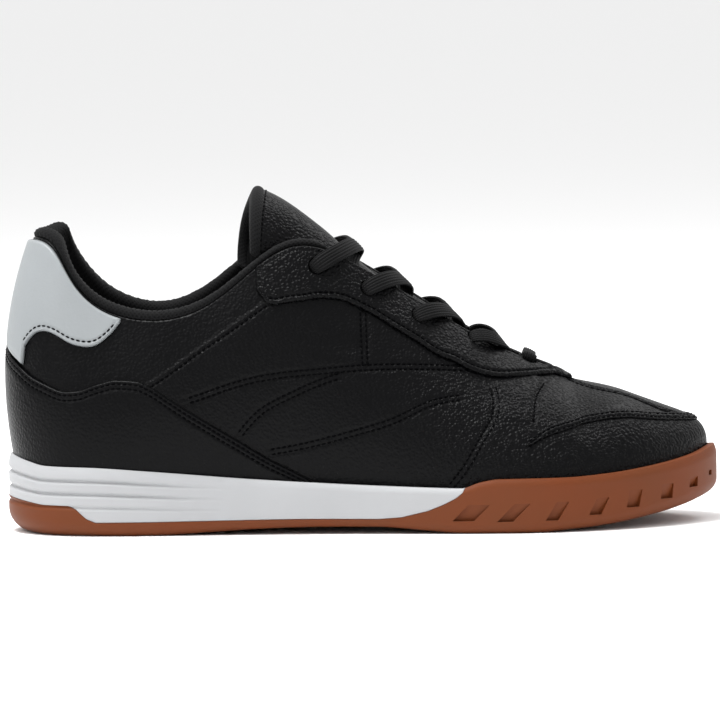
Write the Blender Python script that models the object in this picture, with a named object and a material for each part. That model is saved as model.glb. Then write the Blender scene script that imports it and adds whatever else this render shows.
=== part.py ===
"""Indoor soccer shoe for the right foot, empty and unlaced at the top, standing on its sole.

Lengths in the tables are millimetres; the toe points along +X, the lateral side faces -Y, the floor is z = 0.
"""

import math

import bpy
import numpy as np

for old in list(bpy.data.objects):
    bpy.data.objects.remove(old, do_unlink=True)

MM = 0.001
LATERAL = -1
MEDIAL = 1
SIDES = (LATERAL, MEDIAL)

HEEL_X = -109.0
TOE_X = 110.0
WALL = 2.0
GAP = 0.3
OVERLAY = 1.1
FOOT_INSET = 4.3
THROAT_FRONT_X = 70.0
HEEL_TURN_Q = 0.2
HEEL_STATIONS = 9
SIDE_STATIONS = 19
TOE_STATIONS = 9
UPPER_ROWS = 10

# Sole seen from above: how far it reaches to either side of the middle line.
OUTLINE = {
    "x": (-109, -104, -92, -70, -40, -10, 15, 38, 52, 70, 80, 90, 98, 104, 108, 110),
    "lateral": (0, 15.5, 25.6, 30.2, 31.2, 33.6, 37.6, 41.0, 41.6, 37.6, 33.0, 26.4, 18.8, 10.8, 3.0, -5.5),
    "medial": (0, 15.5, 25.2, 29.2, 27.6, 28.0, 33.5, 40.2, 41.6, 40.4, 37.8, 33.0, 27.0, 20.4, 13.8, 5.5),
}

# Heights along the sole: top of its lip, bed inside it, underside, and the radius of its lower edge.
LIP = {
    "x": (-109, -104, -98, -84, -64, -34, -5, 20, 30, 36, 42, 64, 76, 94, 104, 110),
    "z": (24.1, 22.7, 21.4, 21.1, 19.7, 17.1, 15.2, 14.1, 13.8, 15.6, 16.5, 16.6, 17.2, 19.2, 21.0, 23.0),
}
BED = {
    "x": (-109, -80, -50, -20, 10, 40, 65, 85, 100, 110),
    "z": (16.0, 15.6, 14.4, 12.3, 10.0, 8.8, 9.4, 11.6, 14.2, 16.0),
}
UNDERSIDE = {
    "x": (-109, -98, -66, -50, -30, -10, 5, 20, 32, 54, 60, 70, 80, 90, 100, 110),
    "z": (0.0, 0.0, 0.0, 0.7, 1.8, 2.2, 2.1, 0.9, 0.0, 0.0, 0.4, 1.1, 2.1, 3.5, 5.2, 7.6),
    "edge_radius": (7.5, 5.0, 3.0, 2.8, 2.5, 2.5, 2.5, 2.5, 2.8, 3.0, 3.0, 3.0, 3.2, 3.8, 4.4, 5.0),
}

# Ribs round the heel of the midsole: share of the wall's height, and how far the wall stands out there.
WALL_RIBS = {
    "share": (0.30, 0.445, 0.54, 0.63, 0.725, 0.82, 0.91, 1.0),
    "outset": (0.0, -0.8, 0.1, -0.9, 0.1, -0.9, 0.0, -0.6),
}
RIBS_FULL_X = -75.0
RIBS_END_X = -38.0
LIP_ROUND = 0.5
WALL_LEAST_RISE = 0.12
WALL_TOP_STEP = 0.6
EDGE_TURNS = (0, 30, 60, 90)
INNER_WALL_DROPS = (0.0, 0.4, 0.75, 1.0)

# Line in side view where the midsole meets the outsole.
PARTING = {
    "x": (-125, -109, -98, -90, -87.5, -84.5, -81.5, -60, -20, 5, 12, 20, 25, 28.5, 30.6, 31.4, 31.8),
    "z": (11.6, 11.2, 9.4, 9.3, 8.2, 5.4, 4.2, 4.3, 4.7, 4.6, 5.1, 7.0, 9.0, 10.8, 12.4, 14.0, 22.0),
}

# Slanted recesses in the outsole's forefoot wall, in side view.
WINDOWS = {
    "x": (33.2, 46.2, 59.5, 72.3, 83.3, 93.6, 102.1),
    "z": (6.4, 6.4, 6.6, 7.6, 9.3, 10.7, 12.6),
    "width": (6.6, 4.8, 3.9, 4.1, 4.6, 5.0, 4.6),
    "height": (4.9, 5.4, 5.5, 5.1, 5.2, 4.4, 3.0),
    "slant": (45, 45, 32, 28, 14, 8, 4),
}
WINDOW_DEPTH = 1.2
CUTTER_CLEAR = 3.0
CUTTER_FAR = 149.0
CUTTER_DEEP = -20.0
CUTTER_HIGH = 60.0
CUTTER_WIDE = 80.0

# Ribs of the upper, heel to toe, named by the sole outline's x: where each ends at the collar, throat or
# toe ridge, how it leaves the sole (degrees out from upright) and how it arrives at the top (degrees in).
RIBS = {
    "x": (-109, -104, -98, -92, -78, -60, -40, -22, -5, 15, 38, 58, 66, 70, 78, 94, 105, 110),
    "top_x": (-99.9, -96.2, -92, -88, -76.5, -59, -40.5, -21, -4, 15, 37, 54, 61.5, 64, 71.5, 82, 89, 92.5),
    "top_half": (0, 9.6, 14.4, 17.3, 21.3, 24.5, 23.5, 20, 16.5, 13.5, 10.5, 7.4, 4.6, 0, 0, 0, 0, 0),
    "top_y": (0, 0, 0, 0, 0, 0, 0, 0, 0, 0, 0, 0, 0, 0, 0.5, 0.8, 2.0, 3.0),
    "top_z": (
        90.6, 90.4, 86.4, 78.8, 68.3, 65.8, 73.8, 87, 83, 71.3, 57.4, 49.3, 46.2, 44.9, 43, 40.1, 37.4, 36,
    ),
    "medial_rise": (0, 0.8, 4.0, 4.8, 2.0, 0.3, 2.2, 1.5, 0, 0, 0, 0, 0, 0, 0, 0, 0, 0),
    "lean": (12, 14, 15, 16, 17, 18, 18, 18, 18, 17, 16, 15, 15, 15, 14, 15, 18, 20),
    "arrive": (21, 19, 15, 14, 12, 17, 20, 25, 32, 45, 55, 65, 72, 78, 84, 80, 74, 69),
    "rise": (30, 30, 28, 26, 22, 20, 22, 22, 24, 22, 20, 18, 18, 17, 17, 15, 14, 15.5),
    "reach": (24, 24, 24, 22, 18, 18, 20, 26, 24, 22, 20, 20, 20, 19, 18, 13, 9.5, 9.5),
}
TOP_TURN = 10.0

# Edges of the overlays in lateral side view.
EYESTAY_EDGE = {
    "x": (-31.4, -28, -24.6, -18.4, -11.4, -4.4, 2.75, 9.7, 16.8, 24.9, 28.9, 33.8, 38.8, 50.5, 60.4),
    "z": (74.7, 70.5, 69.9, 70.8, 71.5, 70.4, 67, 62.6, 58.2, 52.9, 51.3, 48.5, 46.8, 46.0, 46.0),
}
COUNTER_EDGE = {
    "x": (-104.9, -98.7, -92.2, -86.4, -79.9, -74, -68.2, -64.1, -58.3, -51.8, -43.5, -36.9, -28.7, -22),
    "z": (52.8, 47.9, 44.9, 44.6, 46.6, 47.8, 47.4, 45.7, 41.9, 37.7, 32.6, 28.6, 23.5, 20.0),
}
COUNTER_BACK_Z = 57.8
COUNTER_FOOT = 0.5
COUNTER_LEAST = 0.02
COUNTER_ROWS = 5
TAB_EDGE = {
    "x": (-102.6, -100.5, -98.1, -95.5, -92.2, -88.4, -83.6, -80.8, -76.5),
    "z": (57.7, 60.7, 62.4, 62.5, 61.1, 58.9, 58.1, 59.0, 62.8),
}
TAB_SEAM = 0.012
TAB_TOP_SHARE = 0.988
TAB_ROWS = 4
TOE_SEAM = {
    "x": (50.2, 59.0, 70.0, 85.0, 97.0),
    "z": (26.2, 30.8, 33.4, 33.8, 32.2),
}
TOE_SEAM_TIP_SHARE = 0.57
TOE_SEAM_SEAT = 0.5
TOE_SEAM_HEIGHT = 0.6
TOE_SEAM_WIDTH = 3.2
TOE_SEAM_ROWS = 3
EYELETS = {
    "x": (-12.9, 2.75, 18.1, 35.1, 51.7),
    "z": (80.9, 73.6, 64.8, 57.3, 50.9),
}
EYELET_RADIUS = 1.9
EYELET_SIDES = 12
EYELET_CUT = 4.0
EYESTAY_FRONT_X = 73.0
EYESTAY_ROWS = 4

# Tongue, top to front: its centre line, half its width, and how far its edges drop and lie back on either side.
TONGUE = {
    "x": (-31.2, -25.4, -19.8, -14.7, -9.7, -4.8, 5, 15, 30, 45, 60),
    "z": (105.2, 102.6, 99.1, 95.2, 91.1, 86.5, 77.6, 70.2, 59.8, 49.8, 41.4),
    "half": (19.0, 17.8, 16.4, 16.0, 16.4, 16.8, 16.2, 15.0, 13.4, 11.4, 9.0),
    "drop": (17.0, 17.0, 15.5, 13.0, 11.5, 11.0, 10.4, 9.0, 7.0, 4.7, 2.2),
    "lateral_back": (0.8, 3.0, 5.5, 7.0, 7.5, 8.3, 7.5, 6.3, 4.6, 3.0, 1.4),
    "medial_back": (6.5, 7.0, 7.5, 7.5, 7.5, 8.3, 7.5, 6.3, 4.6, 3.0, 1.4),
}
TONGUE_ROWS = 21
TONGUE_COLUMNS = 11
TONGUE_MIDDLE = 4.2
TONGUE_EDGE = 1.8

# Section of the padded collar: inward from the upper's outside, and up from its edge.
COLLAR = {
    "inward": (0.2, -0.3, 0.7, 2.6, 4.8, 5.9, 5.9, 4.8, 3.3, 2.4, 2.3, 2.3),
    "up": (0.35, 1.6, 3.2, 3.8, 3.2, 1.0, -4, -10, -16, -16, -8, 0.35),
}
COLLAR_FOOT = 0.35
COLLAR_THIN = {
    "x": (-60, -44, -30, -22, -14, -10),
    "depth": (5.9, 4.8, 3.4, 3.2, 3.0, 3.0),
    "roll": (1.0, 0.95, 0.85, 0.6, 0.4, 0.3),
    "hang": (1.0, 1.0, 0.9, 0.6, 0.4, 0.35),
}
COLLAR_SHARES = ("depth", "roll", "hang")

INSOLE_INSET = 2.6
INSOLE_HEIGHT = 4.0
INSOLE_SHARE = 0.02
LACE_WIDTH = 5.4
LACE_THICK = 1.7
LACE_STATIONS = 11
LACE_SECTION = {
    "across": (-0.5, -0.4, 0.4, 0.5, 0.4, -0.4),
    "out": (0.0, -0.5, -0.5, 0.0, 0.5, 0.5),
}
LACE_ROWS = {
    "edge_share": (0.38, 0.38, 0.36, 0.32),
    "edge_lift": (1.0, 1.0, 1.1, 1.6),
    "middle_share": (0.70, 0.70, 0.68, 0.55),
    "dive_share": (0.92, 0.92, 0.90, 0.70),
}
LACE_BAR_LIFT = 2.7
LACE_DIVE_IN = 4.0
LACE_ARCH = 0.9
LACE_DIVE_LIFT = 0.5

# How finely places on the curved surfaces are looked up.
HALVINGS = 40
LOCATE_ROUNDS = 60
LOCATE_STEP = 0.6
STATION_GAP = 0.004
RIM_STEP = 0.005
RIB_SAMPLES = 60
TONGUE_SAMPLES = 400

FINISHES = {
    "gum_rubber": ((0.36, 0.12, 0.055), 0.6),
    "white_foam": ((0.72, 0.73, 0.74), 0.55),
    "black_leather": ((0.012, 0.012, 0.013), 0.45),
    "white_leather": ((0.74, 0.77, 0.78), 0.45),
    "black_knit": ((0.010, 0.010, 0.011), 0.9),
    "black_cord": ((0.008, 0.008, 0.009), 0.8),
}


def curve(knots, values, ends="free"):
    """Return a smooth function through a table's column.

    ends is "free" for a natural spline, "flat" for level ends, "steady" for no overshoot.
    """
    knots = np.asarray(knots, float)
    values = np.asarray(values, float)
    count = len(knots)
    span = np.diff(knots)
    rate = np.diff(values) / span
    if ends == "steady":
        slopes = np.zeros(count)
        same = rate[:-1] * rate[1:] > 0
        slopes[1:-1][same] = 2 * rate[:-1][same] * rate[1:][same] / (rate[:-1] + rate[1:])[same]
        slopes[0] = rate[0]
        slopes[-1] = rate[-1]
    else:
        system = np.zeros((count, count))
        target = np.zeros(count)
        for k in range(1, count - 1):
            system[k, k - 1 : k + 2] = (span[k], 2 * (span[k - 1] + span[k]), span[k - 1])
            target[k] = 3 * (span[k] * rate[k - 1] + span[k - 1] * rate[k])
        if ends == "free":
            system[0, :2] = (2, 1)
            target[0] = 3 * rate[0]
            system[-1, -2:] = (1, 2)
            target[-1] = 3 * rate[-1]
        else:
            system[0, 0] = 1
            system[-1, -1] = 1
        slopes = np.linalg.solve(system, target)

    def at(place):
        place = np.clip(np.asarray(place, float), knots[0], knots[-1])
        k = np.clip(np.searchsorted(knots, place, side="right") - 1, 0, count - 2)
        s = (place - knots[k]) / span[k]
        start = (1 + 2 * s) * (1 - s) ** 2 * values[k] + s * (1 - s) ** 2 * span[k] * slopes[k]
        end = s * s * (3 - 2 * s) * values[k + 1] + s * s * (s - 1) * span[k] * slopes[k + 1]
        return start + end

    return at


def along(x):
    """Return the share of the shoe's length, 0 heel to 1 toe, spaced so that both ends come out round."""
    return np.arccos(1 - 2 * (np.asarray(x, float) - HEEL_X) / (TOE_X - HEEL_X)) / math.pi


def length_at(q):
    """Return x at a share of the length."""
    return HEEL_X + (TOE_X - HEEL_X) * (1 - np.cos(math.pi * np.asarray(q, float))) / 2


def turned(degrees):
    """Return the sine and cosine of an angle."""
    angle = np.radians(degrees)
    return np.sin(angle), np.cos(angle)


def unit(vectors):
    """Return vectors scaled to length one."""
    return vectors / np.maximum(np.linalg.norm(vectors, axis=-1, keepdims=True), 1e-12)


EDGE_AT = {
    LATERAL: curve(along(OUTLINE["x"]), np.negative(OUTLINE["lateral"])),
    MEDIAL: curve(along(OUTLINE["x"]), OUTLINE["medial"]),
}
LIP_AT = curve(LIP["x"], LIP["z"], "steady")
BED_AT = curve(BED["x"], BED["z"], "flat")
UNDERSIDE_AT = curve(UNDERSIDE["x"], UNDERSIDE["z"], "steady")
EDGE_RADIUS_AT = curve(UNDERSIDE["x"], UNDERSIDE["edge_radius"], "steady")
RIB_Q = along(RIBS["x"])
RIB_AT = {name: curve(RIB_Q, RIBS[name], "flat") for name in RIBS if name not in ("x", "top_half")}
RIB_AT["top_half"] = curve(RIB_Q, RIBS["top_half"], "steady")
ZIP_Q = float(along(THROAT_FRONT_X))


def outline(side, q):
    """Return points of the sole's edge in plan and the outward directions there."""
    q = np.asarray(q, float)
    step = 1e-4
    low = np.clip(q - step, 0, 1)
    high = np.clip(q + step, 0, 1)
    dy = (EDGE_AT[side](high) - EDGE_AT[side](low)) / (high - low)
    dx = (TOE_X - HEEL_X) * math.pi * np.sin(math.pi * q) / 2
    point = np.stack([length_at(q), EDGE_AT[side](q)], -1)
    return point, unit(side * np.stack([-dy, dx], -1))


def skin(side, q, t):
    """Return points of the upper's outside, t = 0 at the sole and 1 at the collar, throat or toe ridge."""
    q, t = np.broadcast_arrays(np.asarray(q, float), np.asarray(t, float))
    edge, out = outline(side, q)
    foot = np.concatenate([edge - FOOT_INSET * out, (BED_AT(edge[..., 0]) + GAP)[..., None]], -1)
    top_y = RIB_AT["top_y"](q) + side * RIB_AT["top_half"](q)
    top_z = RIB_AT["top_z"](q) + (RIB_AT["medial_rise"](q) if side == MEDIAL else 0)
    top = np.stack([RIB_AT["top_x"](q), top_y, top_z], -1)
    inward = unit((foot - top)[..., :2] + TOP_TURN * out)
    sine, cosine = turned(RIB_AT["lean"](q))
    start = np.concatenate([sine[..., None] * out, cosine[..., None]], -1)
    sine, cosine = turned(RIB_AT["arrive"](q))
    end = np.concatenate([sine[..., None] * inward, -cosine[..., None]], -1)
    low = foot + RIB_AT["rise"](q)[..., None] * start
    high = top + RIB_AT["reach"](q)[..., None] * end
    t = t[..., None]
    s = 1 - t
    return s**3 * foot + 3 * s * s * t * low + 3 * s * t * t * high + t**3 * top


def skin_normal(side, q, t):
    """Return the outward directions of the upper, shared by both sides where they join."""

    def one(of_side):
        step = 1e-3
        dq = skin(of_side, np.clip(q + step, 0, 1), t) - skin(of_side, np.clip(q - step, 0, 1), t)
        dt = skin(of_side, q, np.clip(t + step, 0, 1)) - skin(of_side, q, np.clip(t - step, 0, 1))
        return unit(-of_side * np.cross(dq, dt))

    q, t = np.broadcast_arrays(np.asarray(q, float), np.asarray(t, float))
    own = one(side)
    joined = (q < 1e-9) | (q > 1 - 1e-9) | ((t > 1 - 1e-9) & (q > ZIP_Q - 1e-9))
    return np.where(joined[..., None], unit(own + one(-side)), own)


def upper_at(side, q, t, lift=0.0):
    """Return points this far outside the upper's skin."""
    return skin(side, q, t) + lift * skin_normal(side, q, t)


def share_at(side, q, z):
    """Return t where each rib reaches a height."""
    low = np.zeros_like(q)
    high = np.ones_like(q)
    for _ in range(HALVINGS):
        middle = (low + high) / 2
        under = skin(side, q, middle)[..., 2] < z
        low = np.where(under, middle, low)
        high = np.where(under, high, middle)
    return (low + high) / 2


def locate(table):
    """Return (q, t) of a side view table's points on the lateral side."""
    x = np.asarray(table["x"], float)
    z = np.asarray(table["z"], float)
    q = along(x)
    for _ in range(LOCATE_ROUNDS):
        t = share_at(LATERAL, q, z)
        reached = np.clip(skin(LATERAL, q, t)[..., 0], HEEL_X, TOE_X)
        q = np.clip(q + LOCATE_STEP * (along(x) - along(reached)), 0, 1)
    return q, share_at(LATERAL, q, z)


ALL_Q = np.unique(
    np.concatenate(
        [
            np.linspace(0, HEEL_TURN_Q, HEEL_STATIONS),
            np.linspace(HEEL_TURN_Q, ZIP_Q, SIDE_STATIONS),
            np.linspace(ZIP_Q, 1, TOE_STATIONS),
        ]
    )
)


def stations(first, last):
    """Return the shoe's stations between two places, with both of these."""
    inside = ALL_Q[(ALL_Q > first + STATION_GAP) & (ALL_Q < last - STATION_GAP)]
    return np.concatenate([[first], inside, [last]])


def material(name):
    """Return the named finish as a Principled material."""
    made = bpy.data.materials.get(name)
    if made is None:
        colour, roughness = FINISHES[name]
        made = bpy.data.materials.new(name)
        made.use_nodes = True
        shader = made.node_tree.nodes["Principled BSDF"]
        shader.inputs["Base Color"].default_value = (*colour, 1)
        shader.inputs["Roughness"].default_value = roughness
    return made


def add_object(name, points, faces, finish=None):
    """Add a mesh given in millimetres; without a finish it is a hidden cutter."""
    mesh = bpy.data.meshes.new(name)
    mesh.from_pydata((np.asarray(points, float) * MM).tolist(), [], faces)
    piece = bpy.data.objects.new(name, mesh)
    bpy.context.collection.objects.link(piece)
    if finish is None:
        piece.hide_render = True
        piece.display_type = "WIRE"
    else:
        mesh.materials.append(material(finish))
        mesh.shade_smooth()
    return piece


def boolean(piece, other, operation):
    """Join, cut or intersect a piece with another closed mesh."""
    step = piece.modifiers.new(other.name, "BOOLEAN")
    step.object = other
    step.operation = operation
    step.solver = "EXACT"


def shell(name, patches, finish):
    """Add a solid from sheets given as (outer points, inner points, turned over), joined at shared points."""
    known = {}
    outer_points = []
    inner_points = []
    faces = []
    for outer, inner, over in patches:
        index = np.empty(outer.shape[:2], int)
        for place in np.ndindex(*index.shape):
            key = tuple(np.round(outer[place], 3) + 0.0)
            if key not in known:
                known[key] = len(outer_points)
                outer_points.append(outer[place])
                inner_points.append(inner[place])
            index[place] = known[key]
        for r, c in np.ndindex(index.shape[0] - 1, index.shape[1] - 1):
            ring = [int(v) for v in (index[r, c], index[r + 1, c], index[r + 1, c + 1], index[r, c + 1])]
            ring = [v for k, v in enumerate(ring) if v != ring[k - 1]]
            if len(ring) > 2:
                faces.append(ring[::-1] if over else ring)
    count = len(outer_points)
    edges = {pair for ring in faces for pair in zip(ring, ring[1:] + ring[:1])}
    rims = [(b, a, a + count, b + count) for a, b in sorted(edges) if (b, a) not in edges]
    under = [[v + count for v in reversed(ring)] for ring in faces]
    return add_object(name, outer_points + inner_points, faces + under + rims, finish)


def stack(name, loops, finish):
    """Add a solid from closed loops, bottom to top, capped by strips from the lateral to the medial side."""
    size = len(loops[0])
    half = size // 2
    faces = []
    for level in range(len(loops) - 1):
        base = level * size
        for k in range(size):
            n = (k + 1) % size
            faces.append((base + k, base + n, base + size + n, base + size + k))
    for base, over in ((0, True), ((len(loops) - 1) * size, False)):
        for k in range(half):
            ring = [base + k, base + k + 1, base + (size - k - 1) % size, base + (size - k) % size]
            ring = [v for i, v in enumerate(ring) if v != ring[i - 1]]
            faces.append(ring[::-1] if over else ring)
    return add_object(name, np.concatenate(loops), faces, finish)


def loop_of(point_at):
    """Return a closed loop round the shoe, lateral heel to toe and medial back."""
    lateral = point_at(LATERAL, ALL_Q)
    medial = point_at(MEDIAL, ALL_Q[1:-1][::-1])
    return np.concatenate([lateral, medial])


def tube(name, rings, finish, halved=False):
    """Add a solid through rings of equal count, with flat ends; halved sides are triangles, flat where it twists."""
    size = len(rings[0])
    faces = [tuple(range(size))[::-1], tuple((len(rings) - 1) * size + k for k in range(size))]
    for level in range(len(rings) - 1):
        base = level * size
        for k in range(size):
            n = (k + 1) % size
            ring = (base + k, base + n, base + size + n, base + size + k)
            faces.extend([ring[:3], (ring[0], *ring[2:])] if halved else [ring])
    return add_object(name, np.concatenate(rings), faces, finish)


def prism(name, outline_points, direction, finish=None):
    """Add a solid by moving a flat outline along a direction."""
    first = np.asarray(outline_points, float)
    return tube(name, [first, first + np.asarray(direction, float)], finish)


def joined_boxes(name, boxes):
    """Add one cutter made of separate tubes given as (first ring, last ring)."""
    points = []
    faces = []
    for first, last in boxes:
        size = len(first)
        base = len(points)
        points.extend(first)
        points.extend(last)
        faces.append(tuple(base + k for k in range(size))[::-1])
        faces.append(tuple(base + size + k for k in range(size)))
        for k in range(size):
            n = (k + 1) % size
            faces.append((base + k, base + n, base + size + n, base + size + k))
    return add_object(name, points, faces)


def rib_fade(x):
    """Return 1 at the heel, where the midsole's ribs are full, to 0 where they end."""
    share = np.clip((x - RIBS_FULL_X) / (RIBS_END_X - RIBS_FULL_X), 0, 1)
    return 1 - share * share * (3 - 2 * share)


def sole_loops():
    """Return the loops of the whole sole: underside, rounded edge, ribbed wall, lip, inner wall and bed."""

    def at_edge(inset, z):
        def point_at(side, q):
            edge, out = outline(side, q)
            place = edge - inset(edge[:, 0])[:, None] * out
            return np.column_stack([place, z(edge[:, 0])])

        return point_at

    loops = []
    for degrees in EDGE_TURNS:
        sine, cosine = turned(degrees)
        loops.append(
            loop_of(
                at_edge(
                    lambda x, s=sine: EDGE_RADIUS_AT(x) * (1 - s),
                    lambda x, c=cosine: UNDERSIDE_AT(x) + EDGE_RADIUS_AT(x) * (1 - c),
                )
            )
        )
    for share, outset in zip(WALL_RIBS["share"], WALL_RIBS["outset"]):
        plain = LIP_ROUND if share == 1.0 else 0.0
        loops.append(
            loop_of(
                at_edge(
                    lambda x, o=outset, p=plain: -o * rib_fade(x) + p * (1 - rib_fade(x)),
                    lambda x, s=share: wall_height(x, s),
                )
            )
        )
    for z_drop in INNER_WALL_DROPS:
        loops.append(loop_of(lambda side, q, d=z_drop: inner_wall(side, q, d)))
    return loops


def wall_height(x, share):
    """Return z at a share of the sole wall between its rounded edge and the lip."""
    foot = UNDERSIDE_AT(x) + EDGE_RADIUS_AT(x)
    low = np.maximum(share * LIP_AT(x), foot + WALL_LEAST_RISE * share * (LIP_AT(x) - foot))
    return np.where(share >= 1, LIP_AT(x), np.minimum(low, LIP_AT(x) - WALL_TOP_STEP * (1 - share)))


def inner_wall(side, q, drop):
    """Return points of the sole's inside, just clear of the upper, from the lip (0) to the bed (1)."""
    x = length_at(q)
    z = LIP_AT(x) + drop * (BED_AT(x) + GAP - LIP_AT(x))
    place = upper_at(side, q, share_at(side, q, z), GAP)
    place[:, 2] = z - (GAP if drop == 1.0 else 0)
    return place


def build_sole():
    """Add the outsole and the midsole, cut from one form along the parting line."""
    loops = sole_loops()
    outsole = stack("outsole", loops, "gum_rubber")
    midsole = stack("midsole", loops, "white_foam")
    x = np.asarray(PARTING["x"], float)
    z = np.asarray(PARTING["z"], float)
    line = np.column_stack([x, z])
    ahead = unit(np.gradient(line, axis=0))
    moved = line + GAP * np.column_stack([-ahead[:, 1], ahead[:, 0]])
    for piece, path, operation in ((outsole, line, "INTERSECT"), (midsole, moved, "DIFFERENCE")):
        ends = (
            (path[-1, 0], CUTTER_HIGH),
            (CUTTER_FAR, CUTTER_HIGH),
            (CUTTER_FAR, CUTTER_DEEP),
            (-CUTTER_FAR, CUTTER_DEEP),
            (-CUTTER_FAR, path[0, 1]),
        )
        flat = np.concatenate([path, np.asarray(ends)])
        ring = np.column_stack([flat[:, 0], np.full(len(flat), -CUTTER_WIDE), flat[:, 1]])
        boolean(piece, prism(f"{piece.name}_cutter", ring, (0, 2 * CUTTER_WIDE, 0)), operation)
    boolean(outsole, window_cutter(), "DIFFERENCE")


def window_cutter():
    """Add the cutter of the slanted recesses on both sides of the forefoot."""
    boxes = []
    for side in SIDES:
        for x, z, width, height, slant in zip(*(WINDOWS[name] for name in WINDOWS)):
            edge, out = outline(side, along(x))
            ahead = np.array([side * out[1], -side * out[0], 0.0])
            outward = np.array([out[0], out[1], 0.0])
            up = np.array([0.0, 0.0, 1.0]) + math.tan(math.radians(slant)) * ahead
            centre = np.array([edge[0], edge[1], z + height / 2])
            corners = [(-1, -1), (1, -1), (1, 1), (-1, 1)]
            face = [centre + a * ahead * width / 2 + b * up * height / 2 for a, b in corners]
            inner = [p - WINDOW_DEPTH * outward for p in face]
            outer = [p + CUTTER_CLEAR * outward for p in face]
            boxes.append((inner, outer) if side == LATERAL else (inner[::-1], outer[::-1]))
    return joined_boxes("window_cutter", boxes)


def build_insole():
    """Add the insole, lying on the sole's bed inside the upper."""

    def at_height(height):
        def point_at(side, q):
            place = upper_at(side, q, np.full_like(q, INSOLE_SHARE), -INSOLE_INSET - GAP)
            place[:, 2] = BED_AT(length_at(q)) + height
            return place

        return point_at

    stack("insole", [loop_of(at_height(GAP)), loop_of(at_height(GAP + INSOLE_HEIGHT))], "black_knit")


def overlay(name, q, t_low, t_high, rows, finish, seat=GAP, height=OVERLAY):
    """Add a raised panel lying on both sides of the upper between two edges."""
    share = np.linspace(0, 1, rows)
    t = t_low[:, None] + share[None, :] * (t_high - t_low)[:, None]
    wide_q = np.broadcast_to(q[:, None], t.shape)
    patches = []
    for side in SIDES:
        outer = upper_at(side, wide_q, t, seat + height)
        inner = upper_at(side, wide_q, t, seat)
        patches.append((outer, inner, side == MEDIAL))
    return shell(name, patches, finish)


def edge_of(table):
    """Return t along an overlay's edge as a function of q."""
    q, t = locate(table)
    order = np.argsort(q)
    return curve(q[order], t[order], "steady"), q[order]


def build_overlays():
    """Add the eyestay, heel counter, heel tab and the raised seam round the toe."""
    counter_edge, counter_q = edge_of(COUNTER_EDGE)
    back_share = float(share_at(LATERAL, np.zeros(1), np.full(1, COUNTER_BACK_Z))[0])
    counter_top = curve(
        np.concatenate([[0.0], counter_q]), np.concatenate([[back_share], counter_edge(counter_q)]), "steady"
    )
    q = stations(0, counter_q[-1])
    foot = share_at(LATERAL, q, LIP_AT(length_at(q)) + COUNTER_FOOT)
    top = np.maximum(counter_top(q), foot + COUNTER_LEAST)
    overlay("heel_counter", q, foot, top, COUNTER_ROWS, "black_leather")

    tab_edge, tab_q = edge_of(TAB_EDGE)
    q = stations(0, tab_q[-1])
    low = np.maximum(np.where(q < tab_q[0], 0, tab_edge(q)), counter_top(q) + TAB_SEAM)
    overlay("heel_tab", q, low, np.full_like(q, TAB_TOP_SHARE), TAB_ROWS, "white_leather")

    eyestay_edge, eyestay_q = edge_of(EYESTAY_EDGE)
    front_q = float(along(EYESTAY_FRONT_X))
    q = stations(eyestay_q[0], front_q)
    overlay("eyestay", q, eyestay_edge(q), np.ones_like(q), EYESTAY_ROWS, "black_leather")

    seam_edge, seam_q = edge_of(TOE_SEAM)
    seam_line = curve(
        np.concatenate([seam_q, [1.0]]), np.concatenate([seam_edge(seam_q), [TOE_SEAM_TIP_SHARE]]), "flat"
    )
    q = stations(seam_q[0], 1.0)
    ribs = skin(LATERAL, q[:, None], np.linspace(0, 1, RIB_SAMPLES)[None, :])
    half = TOE_SEAM_WIDTH / 2 / np.linalg.norm(np.diff(ribs, axis=1), axis=-1).sum(1)
    low = seam_line(q) - half
    high = seam_line(q) + half
    overlay("toe_seam", q, low, high, TOE_SEAM_ROWS, "black_leather", TOE_SEAM_SEAT, TOE_SEAM_HEIGHT)


def eyelet_cutter():
    """Add the cutter of the round lace holes."""
    q, t = locate(EYELETS)
    boxes = []
    turns = np.linspace(0, 2 * math.pi, EYELET_SIDES, endpoint=False)
    for side in SIDES:
        centre = skin(side, q, t)
        out = skin_normal(side, q, t)
        for place, axis in zip(centre, out):
            across = unit(np.cross(axis, (1.0, 0.0, 0.0)))
            other = np.cross(axis, across)
            ring = [place + EYELET_RADIUS * (math.cos(a) * across + math.sin(a) * other) for a in turns]
            boxes.append(([p - EYELET_CUT * axis for p in ring], [p + EYELET_CUT * axis for p in ring]))
    return joined_boxes("eyelet_cutter", boxes)


def build_upper():
    """Add the upper as one hollow wall, open at the collar, the throat and underneath."""
    q, t = np.meshgrid(ALL_Q, np.linspace(0, 1, UPPER_ROWS), indexing="ij")
    patches = [(upper_at(s, q, t), upper_at(s, q, t, -WALL), s == MEDIAL) for s in SIDES]
    shell("upper", patches, "black_leather")


def below_rim(side, q, drop):
    """Return t this far down a rib from its top."""
    shares = np.linspace(1, 0, RIB_SAMPLES)
    rib = skin(side, np.full_like(shares, q), shares)
    run = np.concatenate([[0.0], np.cumsum(np.linalg.norm(np.diff(rib, axis=0), axis=1))])
    return np.interp(drop, run, shares)


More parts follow.
